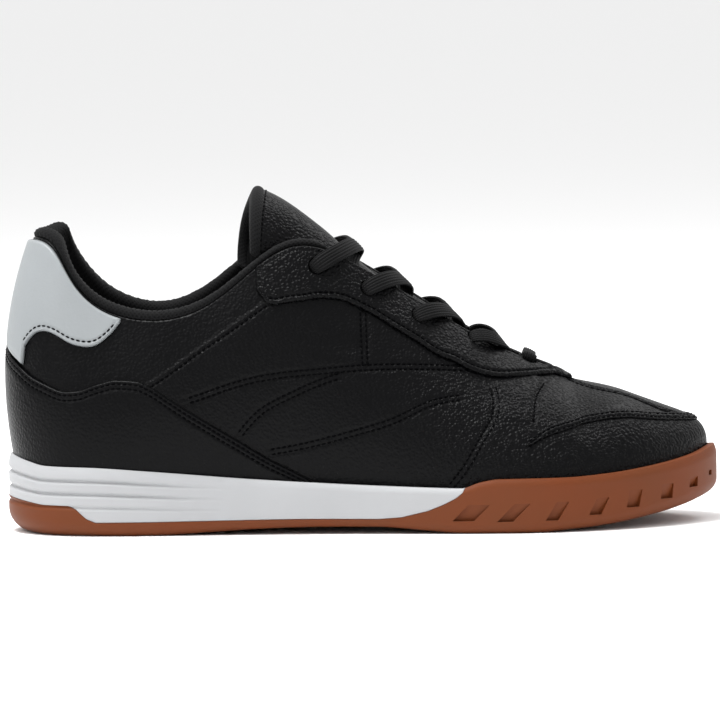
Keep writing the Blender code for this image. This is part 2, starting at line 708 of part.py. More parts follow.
def collar_ring(side, q):
    """Return the collar's section at a station, hugging the wall below the rim and rolled over above it."""
    x = length_at(q)
    depth, roll, hang = (curve(COLLAR_THIN["x"], COLLAR_THIN[name], "steady")(x) for name in COLLAR_SHARES)
    inward = np.asarray(COLLAR["inward"], float)
    up = np.asarray(COLLAR["up"], float)
    backed = WALL + GAP
    thinned = backed + (inward - backed) * (depth - backed) / (inward.max() - backed)
    inward = np.where(inward > backed, thinned, inward)
    hung = np.where(up < 0, up * hang, up)
    up = np.where(up > COLLAR_FOOT, COLLAR_FOOT + (up - COLLAR_FOOT) * roll, hung)
    t = below_rim(side, q, np.maximum(-up, 0))
    wall = upper_at(side, np.full_like(t, q), t) - inward[:, None] * skin_normal(side, np.full_like(t, q), t)
    rising = unit(skin(side, q, 1.0) - skin(side, q, 1.0 - RIM_STEP))
    if q == 0:
        rising[1] = 0.0
    return wall + np.maximum(up, 0)[:, None] * rising


def build_collar():
    """Add the padded collar, swept round the opening from one throat corner to the other."""
    q = stations(0.0, float(along(COLLAR_THIN["x"][-1])))
    rings = [collar_ring(LATERAL, k) for k in q[::-1]] + [collar_ring(MEDIAL, k) for k in q[1:]]
    tube("collar_lining", rings, "black_knit")


def tongue_skin(row, column):
    """Return points of the tongue's outside: row 0 top to 1 front, column -1 lateral to 1 medial edge."""
    knots = np.linspace(0, 1, len(TONGUE["x"]))
    x, z, half, drop, lateral, medial = (curve(knots, TONGUE[name])(row) for name in TONGUE)
    radius = (half**2 + drop**2) / (2 * drop)
    angle = column * np.arctan2(half, radius - drop)
    sink = radius * (1 - np.cos(angle)) / drop
    back = np.where(column < 0, lateral, medial)
    return np.stack([x - back * sink, radius * np.sin(angle), z - drop * sink], -1)


def tongue_surface(row, column, depth):
    """Return tongue points at a depth below its outside."""
    row, column, depth = np.broadcast_arrays(*(np.asarray(v, float) for v in (row, column, depth)))
    step = 1e-3
    ahead = tongue_skin(np.clip(row + step, 0, 1), column) - tongue_skin(np.clip(row - step, 0, 1), column)
    across = tongue_skin(row, np.clip(column + step, -1, 1)) - tongue_skin(row, np.clip(column - step, -1, 1))
    return tongue_skin(row, column) - depth[..., None] * unit(np.cross(ahead, across))


def build_tongue():
    """Add the padded tongue, thick in the middle and thin at its edges."""
    rows = np.linspace(0, 1, TONGUE_ROWS)
    columns = np.linspace(-1, 1, TONGUE_COLUMNS)
    row, column = np.meshgrid(rows, columns, indexing="ij")
    depth = TONGUE_EDGE + (TONGUE_MIDDLE - TONGUE_EDGE) * (1 - column**2)
    outer = tongue_surface(row, column, 0.0)
    inner = tongue_surface(row, column, depth)
    shell("tongue", [(outer, inner, False)], "black_leather")


def tongue_row(x):
    """Return the tongue's row whose centre line passes an x."""
    rows = np.linspace(0, 1, TONGUE_SAMPLES)
    return np.interp(x, tongue_surface(rows, 0 * rows, 0 * rows)[:, 0], rows)


def on_tongue(x, y, lift):
    """Return a point above the tongue and the direction out of it there."""
    row = tongue_row(x)
    columns = np.linspace(-1, 1, TONGUE_SAMPLES)
    across = tongue_surface(np.full_like(columns, row), columns, 0 * columns)
    column = np.interp(y, across[:, 1], columns)
    place = tongue_surface(row, column, 0.0)
    out = unit(place - tongue_surface(row, column, 1.0))
    return place + lift * out, out


def on_eyestay(side, q, t, lift):
    """Return a point above the eyestay and the direction out of it there."""
    return upper_at(side, q, t, GAP + OVERLAY + lift), skin_normal(side, q, t)


def strand(name, guides, finish=None):
    """Add a flat length of lace through points given with the direction its face looks."""
    knots = np.linspace(0, 1, len(guides))
    share = np.linspace(0, 1, LACE_STATIONS)
    path = np.stack([curve(knots, [g[0][k] for g in guides])(share) for k in range(3)], -1)
    face = unit(np.stack([np.interp(share, knots, [g[1][k] for g in guides]) for k in range(3)], -1))
    ahead = unit(np.gradient(path, axis=0))
    across = unit(np.cross(face, ahead))
    face = np.cross(ahead, across)
    rings = []
    for place, wide, thick in zip(path, LACE_WIDTH * across, LACE_THICK * face):
        corners = zip(LACE_SECTION["across"], LACE_SECTION["out"])
        rings.append(np.array([place + a * wide + b * thick for a, b in corners]))
    return tube(name, rings, finish, halved=True)


def build_laces():
    """Add the crossings between the eyelet rows and the bar at the front."""
    q, t = locate(EYELETS)
    x = EYELETS["x"]
    rest = GAP + LACE_THICK / 2
    last = len(x) - 1
    for row, (edge, lift, middle, dive) in enumerate(zip(*(LACE_ROWS[name] for name in LACE_ROWS))):
        strands = []
        pitch = x[row + 1] - x[row]
        dive_x = x[row] + dive * pitch
        dive_y = float(RIB_AT["top_half"](along(dive_x))) - LACE_DIVE_IN
        for side in SIDES:
            guides = [
                on_eyestay(side, q[row], t[row], rest + LACE_DIVE_LIFT),
                on_eyestay(side, q[row] + edge * (q[row + 1] - q[row]), 1.0, rest + lift),
                on_tongue(x[row] + middle * pitch, 0.0, rest + LACE_ARCH),
                on_tongue(dive_x, -side * dive_y, rest + LACE_DIVE_LIFT),
            ]
            finish = "black_cord" if side == LATERAL else None
            name = f"lace_cross_{row + 1}" if side == LATERAL else f"lace_under_{row + 1}"
            strands.append(strand(name, guides, finish))
        boolean(strands[0], strands[1], "UNION")
    ends = [on_eyestay(side, q[last], t[last], rest + LACE_DIVE_LIFT) for side in SIDES]
    edges = [on_eyestay(side, q[last], 1.0, rest + LACE_BAR_LIFT) for side in SIDES]
    middle = on_tongue(x[last], 0.0, rest + LACE_BAR_LIFT)
    strand(f"lace_bar_{last + 1}", [ends[0], edges[0], middle, edges[1], ends[1]], "black_cord")


def main():
    """Build every piece."""
    build_sole()
    build_insole()
    build_upper()
    build_collar()
    build_tongue()
    build_overlays()
    build_laces()
    holes = eyelet_cutter()
    for name in ("upper", "eyestay"):
        boolean(bpy.data.objects[name], holes, "DIFFERENCE")


main()
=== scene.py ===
"""Looks of the indoor soccer shoe: leather, knit, foam, rubber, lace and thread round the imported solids.

Lengths are millimetres; the toe points along +X, the lateral side faces -Y, the floor is z = 0.
"""

import logging
import math
from collections.abc import Callable, Iterable, Sequence
from dataclasses import dataclass, field
from enum import Enum

import bmesh
import bpy
import numpy as np
from bpy.types import Material, Mesh, Node, NodeSocket, NodeTree, Object
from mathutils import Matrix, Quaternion, Vector


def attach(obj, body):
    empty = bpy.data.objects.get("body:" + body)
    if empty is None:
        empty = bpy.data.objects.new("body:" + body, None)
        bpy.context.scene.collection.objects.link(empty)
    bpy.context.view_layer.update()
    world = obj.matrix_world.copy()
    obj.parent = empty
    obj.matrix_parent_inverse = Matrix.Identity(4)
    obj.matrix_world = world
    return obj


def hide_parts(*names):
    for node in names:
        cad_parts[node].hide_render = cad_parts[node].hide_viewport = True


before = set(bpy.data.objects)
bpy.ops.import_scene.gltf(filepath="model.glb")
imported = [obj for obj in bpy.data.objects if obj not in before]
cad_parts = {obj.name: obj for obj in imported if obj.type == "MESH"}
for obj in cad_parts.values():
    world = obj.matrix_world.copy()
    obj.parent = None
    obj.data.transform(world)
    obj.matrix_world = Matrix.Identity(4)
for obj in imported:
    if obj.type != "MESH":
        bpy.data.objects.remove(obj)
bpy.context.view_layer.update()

LOG = logging.getLogger("shoe")
MM = 0.001
GAP = 0.3
WALL = 2.0
SEAT = 0.1
PANEL = 1.3
WELD_M = 2e-6
TINY = 1e-9
# Steps over which slopes of a surface and of an outline are taken.
STEP = 1e-3
FINE_STEP = 1e-4
# How a place on the skin is searched: halvings of a rib, rounds along the shoe, and each round's share.
HALVINGS = 26
ROUNDS = 30
ROUND_SHARE = 0.6
# Length of one wave of the wave texture at scale 1.
WAVE_PITCH = 0.314

Array = np.ndarray
Table = dict[str, tuple[float, ...]]
Places = tuple[Array, Array]


class Side(Enum):
    """Which side of the right shoe, as the sign of y."""

    LATERAL = -1
    MEDIAL = 1


class Ends(Enum):
    """How a curve through a table's column behaves at its ends."""

    FREE = "natural spline"
    FLAT = "level ends"
    STEADY = "no overshoot"


def table(**columns: tuple[float, ...]) -> Table:
    """Return a dataclass field that holds named columns of numbers."""
    return field(default_factory=lambda: dict(columns))


def curve(
    knots: Sequence[float],
    values: Sequence[float],
    ends: Ends = Ends.FREE,
) -> Callable[[Array], Array]:
    """Return a smooth function through a table's column.

    Args:
        knots: Rising places.
        values: Value at each place.
        ends: Behaviour at the ends.

    Returns:
        The function, constant beyond the ends.
    """
    knots = np.asarray(knots, float)
    values = np.asarray(values, float)
    count = len(knots)
    span = np.diff(knots)
    rate = np.diff(values) / span
    if ends is Ends.STEADY:
        slopes = np.zeros(count)
        same = rate[:-1] * rate[1:] > 0
        slopes[1:-1][same] = 2 * rate[:-1][same] * rate[1:][same] / (rate[:-1] + rate[1:])[same]
        slopes[0] = rate[0]
        slopes[-1] = rate[-1]
    else:
        system = np.zeros((count, count))
        target = np.zeros(count)
        for k in range(1, count - 1):
            system[k, k - 1 : k + 2] = (span[k], 2 * (span[k - 1] + span[k]), span[k - 1])
            target[k] = 3 * (span[k] * rate[k - 1] + span[k - 1] * rate[k])
        if ends is Ends.FREE:
            system[0, :2] = (2, 1)
            target[0] = 3 * rate[0]
            system[-1, -2:] = (1, 2)
            target[-1] = 3 * rate[-1]
        else:
            system[0, 0] = 1
            system[-1, -1] = 1
        slopes = np.linalg.solve(system, target)

    def at(place: Array) -> Array:
        """Return the value at a place.

        Args:
            place: Where.

        Returns:
            The value there.
        """
        place = np.clip(np.asarray(place, float), knots[0], knots[-1])
        k = np.clip(np.searchsorted(knots, place, side="right") - 1, 0, count - 2)
        s = (place - knots[k]) / span[k]
        start = (1 + 2 * s) * (1 - s) ** 2 * values[k] + s * (1 - s) ** 2 * span[k] * slopes[k]
        end = s * s * (3 - 2 * s) * values[k + 1] + s * s * (s - 1) * span[k] * slopes[k + 1]
        return start + end

    return at


def turned(degrees: Array) -> tuple[Array, Array]:
    """Return the sine and cosine of an angle."""
    return np.sin(np.radians(degrees)), np.cos(np.radians(degrees))


def unit(vectors: Array) -> Array:
    """Return vectors scaled to length one."""
    return vectors / np.maximum(np.linalg.norm(vectors, axis=-1, keepdims=True), 1e-12)


def eased(share: Array) -> Array:
    """Return a share from 0 to 1 with soft ends."""
    share = np.clip(share, 0, 1)
    return share * share * (3 - 2 * share)


def run_of(points: Array) -> Array:
    """Return the distance along a line of points."""
    return np.concatenate([[0.0], np.cumsum(np.linalg.norm(np.diff(points, axis=0), axis=-1))])


def sample(spots: Array, run: Array, vectors: Array) -> Array:
    """Return a line's vectors at distances along it."""
    return np.stack([np.interp(spots, run, vectors[:, k]) for k in range(3)], -1)


def linear(colour: str) -> tuple[float, float, float, float]:
    """Return an sRGB hex colour in linear light.

    Args:
        colour: Hex value such as #ffffff.

    Returns:
        Red, green, blue and an alpha of 1.
    """
    parts = [int(colour[k : k + 2], 16) / 255 for k in (1, 3, 5)]
    parts = [c / 12.92 if c <= 0.04045 else ((c + 0.055) / 1.055) ** 2.4 for c in parts]
    return (*parts, 1.0)


def add_node(tree: NodeTree, kind: str, inputs: dict, **settings: object) -> Node:
    """Add a shader node with its settings, and link or set its inputs.

    Args:
        tree: Node tree of the material.
        kind: Blender's name of the node.
        inputs: A value or an output socket for each input, by name or index.
        settings: Properties of the node.

    Returns:
        The node.
    """
    made = tree.nodes.new(kind)
    for name, value in settings.items():
        setattr(made, name, value)
    for key, value in inputs.items():
        if isinstance(value, NodeSocket):
            tree.links.new(value, made.inputs[key])
        else:
            made.inputs[key].default_value = value
    return made


@dataclass(frozen=True)
class Finish:
    """A surface as the eye meets it; each kind adds its own pattern."""

    name: str
    colour: str
    roughness: float = 0.5
    ior: float = 1.5
    coat: float = 0.0
    sheen: float = 0.0
    coat_roughness: float = 0.35
    depth_mm: float = 0.0
    other: str = "#000000"

    def make(self) -> Material:
        """Return the finish as a material.

        Returns:
            The material.
        """
        made = bpy.data.materials.new(self.name)
        made.use_nodes = True
        tree = made.node_tree
        shader = tree.nodes["Principled BSDF"]
        shader.inputs["Base Color"].default_value = linear(self.colour)
        shader.inputs["Roughness"].default_value = self.roughness
        shader.inputs["IOR"].default_value = self.ior
        shader.inputs["Coat Weight"].default_value = self.coat
        shader.inputs["Coat Roughness"].default_value = self.coat_roughness
        shader.inputs["Sheen Weight"].default_value = self.sheen
        self.pattern(tree, shader)
        return made

    def pattern(self, tree: NodeTree, shader: Node) -> None:
        """Add what the surface shows beyond its plain colour."""

    def mottle(self, tree: NodeTree, shader: Node, size_mm: float) -> None:
        """Let the colour wander softly towards the other one.

        Args:
            tree: Node tree of the material.
            shader: Its shader.
            size_mm: Size of the patches.
        """
        place = add_node(tree, "ShaderNodeTexCoord", {}).outputs["Object"]
        inputs = {"Vector": place, "Scale": 1 / (size_mm * MM), "Detail": 3.0}
        patches = add_node(tree, "ShaderNodeTexNoise", inputs)
        inputs = {0: patches.outputs["Fac"], 6: linear(self.colour), 7: linear(self.other)}
        mix = add_node(tree, "ShaderNodeMix", inputs, data_type="RGBA")
        tree.links.new(mix.outputs[2], shader.inputs["Base Color"])


@dataclass(frozen=True)
class Leather(Finish):
    """Coated leather, embossed: rounded pebbles with narrow valleys catch the light as broken specks."""

    pebble_mm: float = 1.0
    depth_mm: float = 0.2
    wander: float = 0.9
    softness: float = 0.25
    valley: tuple[float, float] = (0.15, 0.75)
    pore_mm: float = 0.35
    pore_share: float = 0.3
    patch_mm: float = 30.0

    def pattern(self, tree: NodeTree, shader: Node) -> None:
        """Add pebbles, pores and a little unevenness of the coating.

        Args:
            tree: Node tree of the material.
            shader: Its shader.
        """
        place = add_node(tree, "ShaderNodeTexCoord", {}).outputs["Object"]
        inputs = {"Vector": place, "Scale": 0.5 / (self.pebble_mm * MM), "Detail": 2.0}
        wander = add_node(tree, "ShaderNodeTexNoise", inputs)
        inputs = {0: wander.outputs["Color"], 1: (self.wander * self.pebble_mm * MM,) * 3, 2: place}
        shift = add_node(tree, "ShaderNodeVectorMath", inputs, operation="MULTIPLY_ADD")
        inputs = {"Vector": shift.outputs[0], "Scale": 1 / (self.pebble_mm * MM), "Smoothness": self.softness}
        pebbles = add_node(tree, "ShaderNodeTexVoronoi", inputs, feature="SMOOTH_F1")
        inputs = {"Value": pebbles.outputs["Distance"], "To Min": 1.0, "To Max": 0.0}
        inputs |= {"From Min": self.valley[0], "From Max": self.valley[1]}
        dome = add_node(tree, "ShaderNodeMapRange", inputs, interpolation_type="SMOOTHSTEP")
        inputs = {"Vector": place, "Scale": 1 / (self.pore_mm * MM), "Detail": 2.0}
        pores = add_node(tree, "ShaderNodeTexNoise", inputs)
        inputs = {0: pores.outputs["Fac"], 1: self.pore_share, 2: dome.outputs["Result"]}
        height = add_node(tree, "ShaderNodeMath", inputs, operation="MULTIPLY_ADD").outputs[0]
        grain = add_node(tree, "ShaderNodeAttribute", {}, attribute_name="grain").outputs["Fac"]
        inputs = {"Strength": grain, "Distance": self.depth_mm * MM, "Height": height}
        bump = add_node(tree, "ShaderNodeBump", inputs)
        tree.links.new(bump.outputs["Normal"], shader.inputs["Normal"])
        self.mottle(tree, shader, self.patch_mm)


@dataclass(frozen=True)
class Moulded(Finish):
    """Moulded foam or rubber: a fine matt skin, slightly uneven in colour."""

    speck_mm: float = 0.5
    depth_mm: float = 0.03
    speck_strength: float = 0.6
    patch_mm: float = 18.0

    def pattern(self, tree: NodeTree, shader: Node) -> None:
        """Add the mould's fine texture and the colour's wandering.

        Args:
            tree: Node tree of the material.
            shader: Its shader.
        """
        place = add_node(tree, "ShaderNodeTexCoord", {}).outputs["Object"]
        inputs = {"Vector": place, "Scale": 1 / (self.speck_mm * MM), "Detail": 3.0}
        specks = add_node(tree, "ShaderNodeTexNoise", inputs).outputs["Fac"]
        inputs = {"Strength": self.speck_strength, "Distance": self.depth_mm * MM, "Height": specks}
        bump = add_node(tree, "ShaderNodeBump", inputs)
        tree.links.new(bump.outputs["Normal"], shader.inputs["Normal"])
        self.mottle(tree, shader, self.patch_mm)


@dataclass(frozen=True)
class Woven(Finish):
    """Yarn goods: rows of loops follow the piece's own UV map, which is in metres along and across it."""

    pitch_mm: float = 1.0
    depth_mm: float = 0.12
    yarn_strength: float = 0.8
    slant: float = 0.7

    def pattern(self, tree: NodeTree, shader: Node) -> None:
        """Add two crossing sets of yarns, the gaps between them painted darker as shade.

        Args:
            tree: Node tree of the material.
            shader: Its shader.
        """
        place = add_node(tree, "ShaderNodeUVMap", {}, uv_map="Weave").outputs[0]
        scale = WAVE_PITCH / (self.pitch_mm * MM)
        waves = []
        for turn in (self.slant, -self.slant):
            laid = add_node(tree, "ShaderNodeMapping", {"Vector": place, "Rotation": (0, 0, turn)})
            inputs = {"Vector": laid.outputs[0], "Scale": scale, "Distortion": 0.4}
            waves.append(add_node(tree, "ShaderNodeTexWave", inputs).outputs["Fac"])
        inputs = {0: waves[0], 1: waves[1]}
        height = add_node(tree, "ShaderNodeMath", inputs, operation="MAXIMUM").outputs[0]
        inputs = {"Strength": self.yarn_strength, "Distance": self.depth_mm * MM, "Height": height}
        bump = add_node(tree, "ShaderNodeBump", inputs)
        tree.links.new(bump.outputs["Normal"], shader.inputs["Normal"])
        # Painted shade: the colour falls from the yarns' tops to the darker other colour in the gaps between
        # them.
        inputs = {0: height, 6: linear(self.other), 7: linear(self.colour)}
        mix = add_node(tree, "ShaderNodeMix", inputs, data_type="RGBA")
        tree.links.new(mix.outputs[2], shader.inputs["Base Color"])


class Sculpt:
    """A mesh in the making: grids shaped to surfaces, welded where their edges meet."""

    def __init__(self, name: str) -> None:
        """Start an empty mesh under the piece's name.

        Args:
            name: The piece's name.
        """
        self.name = name
        self.bm = bmesh.new()
        self.weave = self.bm.loops.layers.uv.new("Weave")
        self.grain = self.bm.verts.layers.float.new("grain")

    def sheet(
        self,
        points: Array,
        grain: Array | float = 0.0,
        weave: Array | None = None,
        finish: int = 0,
    ) -> None:
        """Lay a grid on an array of points.

        Args:
            points: Places in millimetres, as columns x rows x 3.
            grain: Strength of the grain, one value or one a point.
            weave: Lengths along and across in millimetres, for patterns that follow the piece.
            finish: Index of the piece's material.
        """
        columns, rows = points.shape[:2]
        made = bmesh.ops.create_grid(self.bm, x_segments=columns - 1, y_segments=rows - 1, size=0.5)["verts"]
        spots = np.array([vert.co for vert in made])[:, :2] + 0.5
        column = np.rint(spots[:, 0] * (columns - 1)).astype(int)
        row = np.rint(spots[:, 1] * (rows - 1)).astype(int)
        places = points[column, row] * MM
        strengths = np.broadcast_to(np.asarray(grain, float), (columns, rows))[column, row]
        lengths = np.zeros((len(made), 2)) if weave is None else weave[column, row] * MM
        laid = {}
        for vert, place, strength, length in zip(made, places.tolist(), strengths.tolist(), lengths.tolist()):
            vert.co = place
            vert[self.grain] = strength
            laid[vert] = length
        for face in {face for vert in made for face in vert.link_faces}:
            face.smooth = True
            face.material_index = finish
            for loop in face.loops:
                loop[self.weave].uv = laid[loop.vert]

    def done(
        self,
        finishes: Iterable[Material],
        slot: str,
        nodes: Sequence[str] = (),
    ) -> Object:
        """Close the mesh and make it a piece of the shoe.

        Args:
            finishes: Its materials, in the order of the faces' indices.
            slot: The record's material slot.
            nodes: CAD nodes that it stands for.

        Returns:
            The piece.
        """
        bmesh.ops.remove_doubles(self.bm, verts=self.bm.verts, dist=WELD_M)
        rims = [edge for edge in self.bm.edges if edge.is_boundary]
        if rims:
            bmesh.ops.holes_fill(self.bm, edges=rims, sides=0)
        bmesh.ops.recalc_face_normals(self.bm, faces=self.bm.faces)
        mesh = bpy.data.meshes.new(self.name)
        self.bm.to_mesh(mesh)
        self.bm.free()
        return as_piece(self.name, mesh, finishes, slot, nodes)


def as_piece(
    name: str,
    mesh: Mesh,
    finishes: Iterable[Material],
    slot: str,
    nodes: Sequence[str] = (),
) -> Object:
    """Make a mesh a piece that rides on the shoe.

    Args:
        name: Name of the piece; one that stands for a CAD node gets its material's too.
        mesh: Its mesh, in place.
        finishes: Its materials.
        slot: The record's material slot.
        nodes: CAD nodes that it stands for.

    Returns:
        The piece.
    """
    if nodes:
        name = f"{name}_{slot.rpartition('_')[2]}"
    piece = bpy.data.objects.new(name, mesh)
    bpy.context.scene.collection.objects.link(piece)
    for finish in finishes:
        mesh.materials.append(finish)
    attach(piece, "root")
    if nodes:
        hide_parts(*nodes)
    LOG.info("%s: %d faces", name, len(mesh.polygons))
    return piece


def cut(piece: Object, cutter: bmesh.types.BMesh) -> None:
    """Take a closed cutter out of a piece and drop the cutter.

    Args:
        piece: What is cut.
        cutter: The closed shape that is taken out.
    """
    mesh = bpy.data.meshes.new("cutter")
    cutter.to_mesh(mesh)
    cutter.free()
    tool = bpy.data.objects.new("cutter", mesh)
    bpy.context.scene.collection.objects.link(tool)
    step = piece.modifiers.new("cut", "BOOLEAN")
    step.object = tool
    step.operation = "DIFFERENCE"
    step.solver = "EXACT"
    graph = bpy.context.evaluated_depsgraph_get()
    result = bpy.data.meshes.new_from_object(piece.evaluated_get(graph))
    piece.modifiers.clear()
    old = piece.data
    piece.data = result
    result.name = piece.name
    bpy.data.meshes.remove(old)
    bpy.data.objects.remove(tool)
    bpy.data.meshes.remove(mesh)


@dataclass
class Last:
    """The form that the shoe is built on: outline, ribs and places on its skin."""

    heel_x: float = -109.0
    toe_x: float = 110.0
    foot_inset: float = 4.3
    throat_front_x: float = 70.0
    top_turn: float = 10.0
    plan: Table = table(
        x=(-109, -104, -92, -70, -40, -10, 15, 38, 52, 70, 80, 90, 98, 104, 108, 110),
        lateral=(0, 15.5, 25.6, 30.2, 31.2, 33.6, 37.6, 41, 41.6, 37.6, 33, 26.4, 18.8, 10.8, 3, -5.5),
        medial=(0, 15.5, 25.2, 29.2, 27.6, 28, 33.5, 40.2, 41.6, 40.4, 37.8, 33, 27, 20.4, 13.8, 5.5),
    )
    bed: Table = table(
        x=(-109, -80, -50, -20, 10, 40, 65, 85, 100, 110),
        z=(16.0, 15.6, 14.4, 12.3, 10.0, 8.8, 9.4, 11.6, 14.2, 16.0),
    )
    ribs: Table = table(
        x=(-109, -104, -98, -92, -78, -60, -40, -22, -5, 15, 38, 58, 66, 70, 78, 94, 105, 110),
        top_x=(
            -99.9, -96.2, -92, -88, -76.5, -59, -40.5, -21, -4, 15, 37, 54, 61.5, 64, 71.5, 82, 89, 92.5,
        ),
        top_half=(0, 9.6, 14.4, 17.3, 21.3, 24.5, 23.5, 20, 16.5, 13.5, 10.5, 7.4, 4.6, 0, 0, 0, 0, 0),
        top_y=(0, 0, 0, 0, 0, 0, 0, 0, 0, 0, 0, 0, 0, 0, 0.5, 0.8, 2.0, 3.0),
        top_z=(
            90.6, 90.4, 86.4, 78.8, 68.3, 65.8, 73.8, 87, 83, 71.3, 57.4, 49.3, 46.2, 44.9, 43, 40.1,
            37.4, 36,
        ),
        medial_rise=(0, 0.8, 4.0, 4.8, 2.0, 0.3, 2.2, 1.5, 0, 0, 0, 0, 0, 0, 0, 0, 0, 0),
        lean=(12, 14, 15, 16, 17, 18, 18, 18, 18, 17, 16, 15, 15, 15, 14, 15, 18, 20),
        arrive=(21, 19, 15, 14, 12, 17, 20, 25, 32, 45, 55, 65, 72, 78, 84, 80, 74, 69),
        rise=(30, 30, 28, 26, 22, 20, 22, 22, 24, 22, 20, 18, 18, 17, 17, 15, 14, 15.5),
        reach=(24, 24, 24, 22, 18, 18, 20, 26, 24, 22, 20, 20, 20, 19, 18, 13, 9.5, 9.5),
    )

    def __post_init__(self) -> None:
        """Make the smooth columns."""
        places = self.along(self.plan["x"])
        self.edge_at = {
            Side.LATERAL: curve(places, np.negative(self.plan["lateral"])),
            Side.MEDIAL: curve(places, self.plan["medial"]),
        }
        self.bed_at = curve(self.bed["x"], self.bed["z"], Ends.FLAT)
        places = self.along(self.ribs["x"])
        self.rib_at = {name: curve(places, self.ribs[name], Ends.FLAT) for name in self.ribs if name != "x"}
        self.rib_at["top_half"] = curve(places, self.ribs["top_half"], Ends.STEADY)
        self.zip_q = float(self.along(self.throat_front_x))

    def along(self, x: Array) -> Array:
        """Return the share of the length, 0 heel to 1 toe, spaced so that both ends come out round."""
        return np.arccos(1 - 2 * (np.asarray(x, float) - self.heel_x) / (self.toe_x - self.heel_x)) / math.pi

    def length_at(self, q: Array) -> Array:
        """Return x at a share of the length."""
        return self.heel_x + (self.toe_x - self.heel_x) * (1 - np.cos(math.pi * np.asarray(q, float))) / 2

    def outline(self, side: Side, q: Array) -> Places:
        """Return points of the sole's edge in plan and the outward directions there.

        Args:
            side: Side of the shoe.
            q: Stations, as shares of the length.

        Returns:
            Points and directions.
        """
        q = np.asarray(q, float)
        low = np.clip(q - FINE_STEP, 0, 1)
        high = np.clip(q + FINE_STEP, 0, 1)
        dy = (self.edge_at[side](high) - self.edge_at[side](low)) / (high - low)
        dx = (self.toe_x - self.heel_x) * math.pi * np.sin(math.pi * q) / 2
        point = np.stack([self.length_at(q), self.edge_at[side](q)], -1)
        return point, unit(side.value * np.stack([-dy, dx], -1))

    def skin(self, side: Side, q: Array, t: Array) -> Array:
        """Return points of the upper's outside.

        Args:
            side: Side of the shoe.
            q: Share of the length.
            t: Share up the rib, 0 at the sole and 1 at the collar, throat or toe ridge.

        Returns:
            The points.
        """
        q, t = np.broadcast_arrays(np.asarray(q, float), np.asarray(t, float))
        edge, out = self.outline(side, q)
        rib = self.rib_at
        bed = (self.bed_at(edge[..., 0]) + GAP)[..., None]
        foot = np.concatenate([edge - self.foot_inset * out, bed], -1)
        top_y = rib["top_y"](q) + side.value * rib["top_half"](q)
        top_z = rib["top_z"](q) + (rib["medial_rise"](q) if side is Side.MEDIAL else 0)
        top = np.stack([rib["top_x"](q), top_y, top_z], -1)
        inward = unit((foot - top)[..., :2] + self.top_turn * out)
        sine, cosine = turned(rib["lean"](q))
        start = np.concatenate([sine[..., None] * out, cosine[..., None]], -1)
        sine, cosine = turned(rib["arrive"](q))
        end = np.concatenate([sine[..., None] * inward, -cosine[..., None]], -1)
        low = foot + rib["rise"](q)[..., None] * start
        high = top + rib["reach"](q)[..., None] * end
        t = t[..., None]
        s = 1 - t
        return s**3 * foot + 3 * s * s * t * low + 3 * s * t * t * high + t**3 * top

    def normal(self, side: Side, q: Array, t: Array) -> Array:
        """Return the outward directions of the upper, shared by both sides where they join.

        Args:
            side: Side of the shoe.
            q: Stations, as shares of the length.
            t: Shares up the ribs.

        Returns:
            Directions of length one.
        """
        q, t = np.broadcast_arrays(np.asarray(q, float), np.asarray(t, float))

        def one(hand: Side) -> Array:
            """Return one side's own directions.

            Args:
                hand: That side.

            Returns:
                Directions of length one.
            """
            dq = self.skin(hand, np.clip(q + STEP, 0, 1), t) - self.skin(hand, np.clip(q - STEP, 0, 1), t)
            dt = self.skin(hand, q, np.clip(t + STEP, 0, 1)) - self.skin(hand, q, np.clip(t - STEP, 0, 1))
            return unit(-hand.value * np.cross(dq, dt))

        own = one(side)
        other = one(Side(-side.value))
        return np.where(self.joined(q, t)[..., None], unit(own + other), own)

    def joined(self, q: Array, t: Array) -> Array:
        """Return where both sides meet: at the heel, the toe and the ridge before the throat."""
        ridge = (t > 1 - TINY) & (q > self.zip_q - TINY)
        return (q < TINY) | (q > 1 - TINY) | ridge

    def at(self, side: Side, q: Array, t: Array, lift: Array | float = 0.0) -> Array:
        """Return points this far outside the upper's skin."""
        return self.skin(side, q, t) + np.asarray(lift, float)[..., None] * self.normal(side, q, t)

    def share_at(self, side: Side, q: Array, z: Array) -> Array:
        """Return the share up each rib where it reaches a height.

        Args:
            side: Side of the shoe.
            q: Stations, as shares of the length.
            z: Heights.

        Returns:
            Shares up the ribs.
        """
        low = np.zeros_like(q)
        high = np.ones_like(q)
        for _ in range(HALVINGS):
            middle = (low + high) / 2
            under = self.skin(side, q, middle)[..., 2] < z
            low = np.where(under, middle, low)
            high = np.where(under, high, middle)
        return (low + high) / 2

    def locate(self, x: Sequence[float], z: Sequence[float]) -> Places:
        """Return the places (q, t) of points given in lateral side view.

        Args:
            x: Their lengths.
            z: Their heights.

        Returns:
            Stations and shares up the ribs.
        """
        x = np.asarray(x, float)
        z = np.asarray(z, float)
        q = self.along(x)
        for _ in range(ROUNDS):
            t = self.share_at(Side.LATERAL, q, z)
            reached = np.clip(self.skin(Side.LATERAL, q, t)[..., 0], self.heel_x, self.toe_x)
            q = np.clip(q + ROUND_SHARE * (self.along(x) - self.along(reached)), 0, 1)
        return q, self.share_at(Side.LATERAL, q, z)

    def rib_length(self, side: Side, q: Array) -> Array:
        """Return the length of each rib."""
        ribs = self.skin(side, np.asarray(q)[..., None], np.linspace(0, 1, 24))
        return np.linalg.norm(np.diff(ribs, axis=-2), axis=-1).sum(-1)

    def trace(self, x: Sequence[float], z: Sequence[float], step: float = 0.6) -> Places:
        """Return evenly spaced places along a line given in lateral side view.

        Args:
            x: Lengths of its points.
            z: Heights of its points.
            step: Spacing.

        Returns:
            Stations and shares up the ribs.
        """
        q, t = self.locate(x, z)
        run = run_of(self.skin(Side.LATERAL, q, t))
        even = np.linspace(0, run[-1], max(8, int(run[-1] / step)))
        return curve(run, q)(even), np.clip(curve(run, t)(even), 0, 1)


